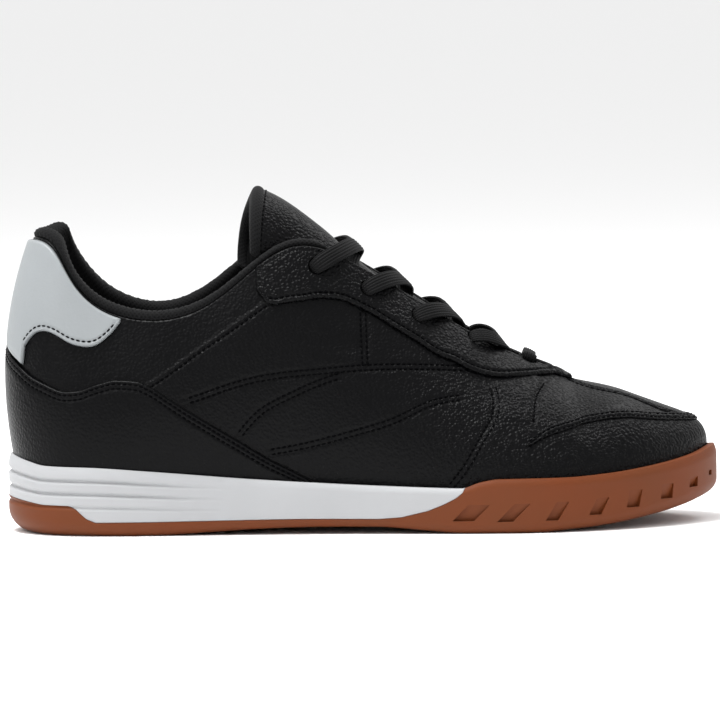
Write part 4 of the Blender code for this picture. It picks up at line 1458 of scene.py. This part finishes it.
@dataclass
class Sole:
    """The foam midsole, the gum outsole with its cup and recesses, and the insole."""

    last: Last
    stations: int = 300
    lip: Table = table(
        x=(-109, -104, -98, -84, -64, -34, -5, 20, 30, 36, 42, 64, 76, 94, 104, 110),
        z=(24.1, 22.7, 21.4, 21.1, 19.7, 17.1, 15.2, 14.1, 13.8, 15.6, 16.5, 16.6, 17.2, 19.2, 21.0, 23.0),
    )
    under: Table = table(
        x=(-109, -98, -66, -50, -30, -10, 5, 20, 32, 54, 60, 70, 80, 90, 100, 110),
        z=(0.0, 0.0, 0.0, 0.7, 1.8, 2.2, 2.1, 0.9, 0.0, 0.0, 0.4, 1.1, 2.1, 3.5, 5.2, 7.6),
        edge_radius=(7.5, 5.0, 3.0, 2.8, 2.5, 2.5, 2.5, 2.5, 2.8, 3.0, 3.0, 3.0, 3.2, 3.8, 4.4, 5.0),
    )
    ribs: Table = table(
        share=(0.42, 0.61, 0.8),
        depth=(0.6, 1.0, 1.0),
        half=(0.022, 0.024, 0.024),
    )
    ribs_full_x: float = -75.0
    ribs_end_x: float = -38.0
    parting: Table = table(
        x=(-125, -109, -98, -90, -87.5, -84.5, -81.5, -60, -20, 5, 12, 20, 25, 28.5, 30.6, 31.4, 31.8),
        z=(11.6, 11.2, 9.4, 9.3, 8.2, 5.4, 4.2, 4.3, 4.7, 4.6, 5.1, 7.0, 9.0, 10.8, 12.4, 14.0, 22.0),
    )
    windows: Table = table(
        x=(33.2, 46.2, 59.5, 72.3, 83.3, 93.6, 102.1, 107.6),
        z=(6.4, 6.4, 6.6, 7.6, 9.3, 10.7, 12.6, 14.6),
        width=(6.6, 4.8, 3.9, 4.1, 4.6, 5.0, 4.6, 2.4),
        height=(4.9, 5.4, 5.5, 5.1, 5.2, 4.4, 3.0, 1.6),
        slant=(45, 45, 32, 28, 14, 8, 4, 4),
    )
    window_depth: float = 1.5
    window_shallow: float = 0.25
    insole_inset: float = 2.6
    insole_height: float = 4.0
    tread_pitch: float = 5.2
    tread_depth: float = 0.9
    tread_fade: float = 14.0
    zigzag_width: float = 9.0
    zigzag_reach: float = 5.0
    tread_edge: tuple[float, float] = (0.72, 0.2)
    wall_rows: int = 34
    tread_rows: int = 71
    bed_rows: int = 9
    insole_rows: int = 41
    proud: float = 0.15
    lip_round: float = 0.8
    lip_from: float = 0.86
    cup_x: float = 31.6
    step_x: float = 24.0
    midsole_end_x: float = 31.3
    wall_spread: float = 1.3
    window_reach: float = 3.0
    sharp_angle: float = 42.0

    def __post_init__(self) -> None:
        """Make the smooth columns."""
        self.lip_at = curve(self.lip["x"], self.lip["z"], Ends.STEADY)
        self.under_at = curve(self.under["x"], self.under["z"], Ends.STEADY)
        self.radius_at = curve(self.under["x"], self.under["edge_radius"], Ends.STEADY)

    def groove_at(self, share: Array) -> Array:
        """Return the depth of the grooves between the heel's ribs at a share of the wall's height."""
        rows = zip(*self.ribs.values())
        return sum(depth * np.exp(-(((share - place) / half) ** 2)) for place, depth, half in rows)

    def parting_at(self, x: Array) -> Array:
        """Return the height of the line between midsole and outsole."""
        return np.interp(x, self.parting["x"], self.parting["z"])

    def wall(self, side: Side, q: Array, z: Array, proud: float = 0.0) -> Array:
        """Return points of the sole's outer wall, with its rounded lower edge and its ribs.

        Args:
            side: Side of the shoe.
            q: Stations along the shoe.
            z: Heights.
            proud: How far the points stand off the wall.

        Returns:
            The points.
        """
        edge, out = self.last.outline(side, q)
        x = edge[..., 0]
        radius = self.radius_at(x)
        over = np.clip(1 - (z - self.under_at(x)) / radius, 0, 1)
        share = z / self.lip_at(x)
        fade = 1 - eased((x - self.ribs_full_x) / (self.ribs_end_x - self.ribs_full_x))
        inset = radius * (1 - np.sqrt(1 - over**2)) + self.groove_at(share) * fade
        inset = inset + self.lip_round * np.clip((share - self.lip_from) / (1 - self.lip_from), 0, 1) ** 2
        return np.concatenate([edge - (inset - proud)[..., None] * out, z[..., None]], -1)

    def inside(self, side: Side, q: Array, z: Array) -> Array:
        """Return points of the sole's inside, just clear of the upper.

        Args:
            side: Side of the shoe.
            q: Stations, as shares of the length.
            z: Heights.

        Returns:
            The points.
        """
        level = np.maximum(z, self.last.bed_at(self.last.length_at(q)) + GAP)
        points = self.last.at(side, q, self.last.share_at(side, q, level), GAP)
        points[..., 2] = z
        return points

    def lip_inside(self, side: Side, q: Array, top: Array, bed: Array) -> Array:
        """Return points down the sole's inside, from its top to the bed."""
        levels = top[:, None] + np.linspace(0, 1, 6) * (bed - top)[:, None]
        return self.inside(side, np.broadcast_to(q[:, None], levels.shape), levels)

    def span(self, lines: dict[Side, Array], rows: int) -> Array:
        """Return a sheet's points between a lateral and a medial line."""
        share = np.linspace(0, 1, rows)[None, :, None]
        return lines[Side.LATERAL][:, None] * (1 - share) + lines[Side.MEDIAL][:, None] * share

    def tread(self, x: Array, y: Array) -> Array:
        """Return the depth of the underside's zigzag grooves.

        Args:
            x: Places along.
            y: Places across.

        Returns:
            The depths.
        """
        zigzag = np.abs(((y / self.zigzag_width) % 2) - 1) * self.zigzag_reach
        wave = np.abs((((x + zigzag) / self.tread_pitch) % 1) - 0.5) * 2
        return self.tread_depth * eased((wave - self.tread_edge[0]) / self.tread_edge[1])

    def build_outsole(self, gum: Material) -> None:
        """Make the outsole: grooved underside, rounded edge, wall up to the parting line or lip, and cup.

        Args:
            gum: Its material.
        """
        crossing = float(self.last.along(self.cup_x))
        q = np.unique(
            np.concatenate(
                [
                    np.linspace(0, crossing, self.stations // 2),
                    np.linspace(self.last.along(self.step_x), crossing, 40),
                    np.linspace(crossing + FINE_STEP, 1, self.stations // 2),
                ]
            )
        )
        x = self.last.length_at(q)
        cup = q > crossing
        top = np.where(cup, self.lip_at(x), np.minimum(self.parting_at(x), self.lip_at(x)))
        bed = np.where(cup, self.last.bed_at(x), np.minimum(self.parting_at(x), self.last.bed_at(x)))
        share = np.linspace(0, 1, self.wall_rows + 1) ** self.wall_spread
        made = Sculpt("outsole")
        feet = {}
        beds = {}
        for side in Side:
            z = self.under_at(x)[:, None] + share * (top - self.under_at(x))[:, None]
            wall = self.wall(side, np.broadcast_to(q[:, None], z.shape), z, self.proud)
            made.sheet(wall)
            lip = self.lip_inside(side, q, top, bed)
            made.sheet(np.concatenate([wall[:, -1:], lip], 1))
            feet[side] = wall[:, 0]
            beds[side] = lip[:, -1]
        under = self.span(feet, self.tread_rows)
        across = np.linspace(0, 1, self.tread_rows)
        inner = eased(np.minimum(across, 1 - across) * self.tread_fade) * eased(q * self.tread_fade)[:, None]
        inner = inner * eased((1 - q) * self.tread_fade)[:, None]
        under[..., 2] += self.tread(under[..., 0], under[..., 1]) * inner
        made.sheet(under)
        made.sheet(self.span(beds, self.bed_rows))
        piece = made.done([gum], "gum_rubber", ["outsole"])
        cut(piece, self.window_cutter())
        piece.data.set_sharp_from_angle(angle=math.radians(self.sharp_angle))

    def window_cutter(self) -> bmesh.types.BMesh:
        """Return the slanted recesses of both sides as one mesh.

        Returns:
            The mesh.
        """
        made = bmesh.new()
        for side in Side:
            for x, z, width, height, slant in zip(*self.windows.values()):
                edge, out = self.last.outline(side, self.last.along(x))
                ahead = np.array([side.value * out[1], -side.value * out[0], 0.0])
                outward = np.array([out[0], out[1], 0.0])
                up = np.array([0.0, 0.0, 1.0]) + math.tan(math.radians(slant)) * ahead
                centre = np.array([edge[0], edge[1], z])
                box = bmesh.ops.create_cube(made, size=1.0)["verts"]
                for vert in box:
                    a, b, c = vert.co
                    reach = self.window_reach
                    if b < 0:
                        reach = -self.window_depth if c < 0 else -self.window_shallow
                    vert.co = (centre + a * width * ahead + c * height * up + reach * outward) * MM
        bmesh.ops.recalc_face_normals(made, faces=made.faces)
        return made

    def build_midsole(self, foam: Material) -> None:
        """Make the midsole: ribbed wall down to the parting line, lip, inside and bed.

        Args:
            foam: Its material.
        """
        q = np.linspace(0, float(self.last.along(self.midsole_end_x)), self.stations)
        x = self.last.length_at(q)
        low = np.minimum(self.parting_at(x) + 0.12, self.lip_at(x))
        bed = self.last.bed_at(x)
        floor = np.minimum(low, bed - 0.15)
        share = np.linspace(0, 1, 2 * self.wall_rows + 1)
        made = Sculpt("midsole")
        beds = {}
        floors = {}
        for side in Side:
            z = low[:, None] + share * (self.lip_at(x) - low)[:, None]
            wall = self.wall(side, np.broadcast_to(q[:, None], z.shape), z)
            made.sheet(wall)
            lip = self.lip_inside(side, q, self.lip_at(x), bed)
            made.sheet(np.concatenate([wall[:, -1:], lip], 1))
            foot = self.inside(side, np.stack([q, q], 1), np.stack([low, floor], 1))
            made.sheet(np.concatenate([wall[:, :1], foot], 1))
            beds[side] = lip[:, -1]
            floors[side] = foot[:, -1]
        for lines in (beds, floors):
            made.sheet(self.span(lines, self.bed_rows))
        made.done([foam], "white_foam", ["midsole"])

    def build_insole(self, knit: Material) -> None:
        """Make the insole, crowned a little at its edge, on the sole's bed.

        Args:
            knit: Its material.
        """
        q = np.linspace(0, 1, 200)
        x = self.last.length_at(q)
        made = Sculpt("insole")
        levels = ((0.0, GAP), (0.0, self.insole_height - 0.9), (1.2, self.insole_height))
        low = {}
        high = {}
        for side in Side:
            lines = []
            for inset, height in levels:
                line = self.last.at(side, q, np.full_like(q, 0.02), -self.insole_inset - GAP - inset)
                line[:, 2] = self.last.bed_at(x) + height
                lines.append(line)
            rim = np.stack(lines, 1)
            made.sheet(rim, 0.0, rim[..., :2])
            low[side] = lines[0]
            high[side] = lines[-1]
        for rims in (low, high):
            strip = self.span(rims, self.insole_rows)
            made.sheet(strip, 0.0, strip[..., :2])
        made.done([knit], "black_knit", ["insole"])


@dataclass
class Lace:
    """The flat lace: crossings leave the punched holes, pass over the tongue and go under the far edge."""

    last: Last
    tongue: Tongue
    eyelets: Table
    width: float = 5.4
    thick: float = 1.5
    hole_width: float = 4.0
    stations: int = 90
    around: int = 96
    ridges: int = 6
    rows: Table = table(
        edge_share=(0.38, 0.38, 0.36, 0.32),
        edge_lift=(0.3, 0.3, 0.35, 0.5),
        middle_share=(0.70, 0.70, 0.68, 0.55),
        dive_share=(0.92, 0.92, 0.90, 0.70),
    )
    bar_lift: float = -1.35
    bar_arch: float = 0.2
    bar_width: float = 4.2
    bar_sunk: float = 0.6
    bar_turn: tuple[float, ...] = (1.2, 0.6, 1.2, 1.2)
    cross_turn: tuple[float, ...] = (1.6, 0.9, 1.4, 1.6)
    cross_over: tuple[float, float] = (0.75, -0.45)
    hole_depth: float = 4.6
    tuck: float = 0.955
    dive_in: float = 4.0
    arch: float = 0.5
    dive_lift: float = 0.2
    dive_ahead: float = 0.012
    dive_depth: float = 1.2
    eyestay_height: float = 1.1
    draw_start: float = 1.0
    draw_run: float = 6.0
    hole_swell: float = 0.25
    flatness: float = 0.55
    ridge_depth: float = 0.32

    def over_eyestay(self, side: Side, q: float, t: float, lift: float) -> Places:
        """Return a point above the eyestay and the direction out of it."""
        return self.last.at(side, q, t, GAP + self.eyestay_height + lift), self.last.normal(side, q, t)

    def strand(self, made: Sculpt, guides: Sequence[Places], narrow: tuple[bool, bool], width: float) -> None:
        """Lay a ribbed length of lace.

        Args:
            made: The mesh that it joins.
            guides: Points with the direction its face looks.
            narrow: Whether its start and its end are drawn together in a hole.
            width: Its width between the holes.
        """
        spots = np.array([g[0] for g in guides])
        faces = np.array([g[1] for g in guides])
        run = run_of(spots)
        share = np.linspace(0, run[-1], self.stations)
        path = np.stack([curve(run, spots[:, k])(share) for k in range(3)], -1)
        face = unit(sample(share, run, faces))
        ahead = unit(np.gradient(path, axis=0))
        across = unit(np.cross(face, ahead))
        face = np.cross(ahead, across)
        drawn = np.ones(self.stations)
        if narrow[0]:
            drawn = np.minimum(drawn, eased((share - self.draw_start) / self.draw_run))
        if narrow[1]:
            drawn = np.minimum(drawn, eased((run[-1] - share - self.draw_start) / self.draw_run))
        wide = self.hole_width + (width - self.hole_width) * drawn
        thick = self.thick * (1 + self.hole_swell - self.hole_swell * drawn)
        turns = np.linspace(0, 2 * math.pi, self.around + 1)
        side = np.cos(turns)
        lift = np.sign(np.sin(turns)) * np.abs(np.sin(turns)) ** self.flatness
        ridge = np.abs(np.cos(math.pi * self.ridges * (side + 1) / 2))
        ribs = 1 - self.ridge_depth + self.ridge_depth * ridge
        points = (
            path[:, None]
            + (wide[:, None] / 2 * side)[..., None] * across[:, None]
            + (thick[:, None] / 2 * lift * ribs)[..., None] * face[:, None]
        )
        points[:, -1] = points[:, 0]
        weave = np.stack(np.broadcast_arrays(share[:, None], (side * width / 2)[None, :]), -1)
        made.sheet(points, 0.0, weave)

    def leave(self, hole: Array, out: Array, back: Array, turn: Sequence[float]) -> list[Places]:
        """Return the guides of a strand that comes up through a hole.

        Args:
            hole: Place above the hole.
            out: Direction out of the eyestay.
            back: Direction from the throat's rim to the hole.
            turn: Steps back at the first two guides, depth of the second, and step ahead at the third.

        Returns:
            Points with the direction that the lace's face looks.
        """
        first, second, depth, ahead = turn
        return [
            (hole + first * back - self.hole_depth * out, out + back),
            (hole + second * back - depth * out, out + 0.8 * back),
            (hole - ahead * back + 0.2 * out, out),
        ]

    def build(self, cord: Material) -> None:
        """Make every crossing and the front bar, each standing for its CAD node.

        Args:
            cord: The lace's material.
        """
        q, t = self.last.locate(self.eyelets["x"], self.eyelets["z"])
        x = self.eyelets["x"]
        rest = GAP + self.thick / 2
        for row, (edge, lift, middle, dive) in enumerate(zip(*self.rows.values())):
            name = f"lace_cross_{row + 1}"
            made = Sculpt(name)
            pitch = x[row + 1] - x[row]
            dive_x = x[row] + dive * pitch
            dive_q = self.last.along(dive_x)
            half = float(self.last.rib_at["top_half"](dive_q))
            for side in Side:
                far = Side(-side.value)
                over = self.cross_over[side is Side.MEDIAL]
                hole, out = self.over_eyestay(side, q[row], t[row], rest + self.dive_lift)
                rim = self.over_eyestay(side, q[row] + edge * (q[row + 1] - q[row]), 1.0, rest + lift)
                under = self.last.at(far, dive_q + self.dive_ahead, self.tuck, -WALL - self.dive_depth)
                guides = [
                    *self.leave(hole, out, unit(hole - rim[0]), self.cross_turn),
                    rim,
                    self.tongue.above(x[row] + middle * pitch, 0.0, rest + self.arch + over),
                    self.tongue.above(dive_x, -side.value * (half - self.dive_in), rest + self.dive_lift),
                    (under, self.last.normal(far, dive_q, self.tuck)),
                ]
                self.strand(made, guides, (True, False), self.width)
            made.done([cord], "black_cord", [name])
        halves = []
        for side in Side:
            hole, out = self.over_eyestay(side, q[-1], t[-1], rest + self.dive_lift - self.bar_sunk)
            rim = self.over_eyestay(side, q[-1], 1.0, rest + self.bar_lift)
            halves.append([*self.leave(hole, out, unit(hole - rim[0]), self.bar_turn), rim])
        centre = np.mean([half[-1][0] for half in halves], 0) + (0, 0, self.bar_arch)
        middle = (centre, np.mean([half[-1][1] for half in halves], 0))
        name = f"lace_bar_{len(x)}"
        made = Sculpt(name)
        self.strand(made, [*halves[0], middle, *halves[1][::-1]], (True, True), self.bar_width)
        made.done([cord], "black_cord", [name])


@dataclass
class Studio:
    """Pale floor, soft light and the camera at the photograph's angle."""

    aim: tuple[float, float, float] = (0.15, 0.0, 50.9)
    frame_width: float = 222.5
    elevation: float = 4.0
    roll: float = 0.95
    lens: float = 400.0
    sensor: float = 36.0
    clip_end_m: float = 50.0
    floor_size_m: float = 9.0
    world_strength: float = 0.9
    light_aim_m: tuple[float, float, float] = (0, 0, 0.04)
    softboxes: tuple[tuple, ...] = (
        ("top_softbox", (-0.3, -0.1, 1.1), 0.5, 16.0),
        ("key_softbox", (-0.8, -0.8, 0.9), 0.6, 3.0),
        ("back_softbox", (0.55, 0.55, 0.9), 0.4, 2.8),
    )

    def build(self) -> None:
        """Set the stage, the lights and the camera."""
        self.build_floor()
        world = bpy.data.worlds.new("studio")
        world.use_nodes = True
        world.node_tree.nodes["Background"].inputs["Color"].default_value = linear("#ffffff")
        world.node_tree.nodes["Background"].inputs["Strength"].default_value = self.world_strength
        bpy.context.scene.world = world
        bpy.context.scene.view_settings.view_transform = "Standard"
        for softbox in self.softboxes:
            self.light(*softbox)
        self.build_camera()

    def build_floor(self) -> None:
        """Lay the floor."""
        sheet = bmesh.new()
        bmesh.ops.create_grid(sheet, x_segments=2, y_segments=2, size=self.floor_size_m)
        mesh = bpy.data.meshes.new("floor")
        sheet.to_mesh(mesh)
        sheet.free()
        floor = bpy.data.objects.new("floor", mesh)
        bpy.context.scene.collection.objects.link(floor)
        mesh.materials.append(Finish("matt_paint", "#fafafa", 0.9).make())

    def light(self, name: str, place: tuple[float, float, float], size: float, power: float) -> None:
        """Hang a soft box that looks at the shoe.

        Args:
            name: Name of the light.
            place: Its place in metres.
            size: Its width in metres.
            power: Its power in watts.
        """
        lamp = bpy.data.lights.new(name, "AREA")
        lamp.shape = "SQUARE"
        lamp.size = size
        lamp.energy = power
        holder = bpy.data.objects.new(name, lamp)
        holder.location = place
        holder.rotation_mode = "QUATERNION"
        holder.rotation_quaternion = (Vector(self.light_aim_m) - Vector(place)).to_track_quat("-Z", "Y")
        bpy.context.scene.collection.objects.link(holder)

    def build_camera(self) -> None:
        """Place the camera with its long lens, rolled as in the photograph."""
        lens = bpy.data.cameras.new("camera")
        lens.lens = self.lens
        lens.sensor_width = self.sensor
        lens.clip_end = self.clip_end_m
        holder = bpy.data.objects.new("camera", lens)
        bpy.context.scene.collection.objects.link(holder)
        sine, cosine = turned(self.elevation)
        back = Vector((0.0, -float(cosine), float(sine)))
        distance = self.frame_width / 2 / (self.sensor / 2 / self.lens) * MM
        holder.location = Vector(self.aim) * MM + back * distance
        holder.rotation_mode = "QUATERNION"
        turn = Quaternion((0, 0, 1), math.radians(-self.roll))
        holder.rotation_quaternion = (-back).to_track_quat("-Z", "Y") @ turn
        bpy.context.scene.camera = holder


def main() -> None:
    """Build every piece of the shoe and its stage."""
    logging.basicConfig(level=logging.INFO, format="%(name)s: %(message)s")
    # Black and slightly glossy: its pebbles break the light into specks.
    black = Leather("coated_leather_black", "#040405", 0.34, 1.17, 0.02, other="#060607").make()
    # Smooth and satin: one even, cool white sheet.
    white = Leather("coated_leather_white", "#818587", 0.45, depth_mm=0.05, other="#898d8f").make()
    # Matt: slanted rows of loops, the gaps between the yarns painted dark as shade.
    knit = Woven("polyester_knit_black", "#101011", 0.8, 1.2, sheen=0.03, other="#020202").make()
    # Coarser and duller than the knit, so that the inside stays dark; the gaps between its yarns are painted
    # dark as shade.
    lining = Woven(
        "polyester_lining_black", "#0c0c0d", 0.9, 1.2, sheen=0.02, pitch_mm=1.4, other="#030303"
    ).make()
    # Fine crossing yarns with a soft shine along the lace's ribs, the gaps between the yarns painted dark as
    # shade.
    cord = Woven(
        "polyester_lace_black",
        "#09090a",
        0.6,
        1.2,
        sheen=0.01,
        pitch_mm=0.7,
        depth_mm=0.08,
        other="#020202",
    ).make()
    # Dull and darker than the leather, so that seams read as dotted lines.
    thread_black = Finish("polyester_thread_black", "#020203", 0.7, 1.1).make()
    # Clean and matt, clouded with a faintly lighter grey.
    foam = Moulded("eva_foam_white", "#9fa0a2", 0.55, other="#a6a7a9").make()
    # Warm brown and matt, a little duller in patches.
    gum = Moulded("gum_rubber", "#69300f", 0.55, 1.3, other="#5f3217").make()
    last = Last()
    relief = Relief(last)
    thread = Thread()
    upper = Upper(last, relief, thread)
    upper.build(black, lining)
    counter = upper.build_counter(black)
    upper.build_tab(white, counter)
    upper.build_eyestay(black)
    upper.build_toe_seam(black)
    upper.sew_relief()
    Collar(last).build(knit)
    tongue = Tongue(last)
    tongue.build(black, knit, thread)
    Lace(last, tongue, upper.eyelets).build(cord)
    thread.build("stitching", thread_black, "black_cord")
    sole = Sole(last)
    sole.build_outsole(gum)
    sole.build_midsole(foam)
    sole.build_insole(lining)
    Studio().build()


if __name__ == "__main__":
    main()
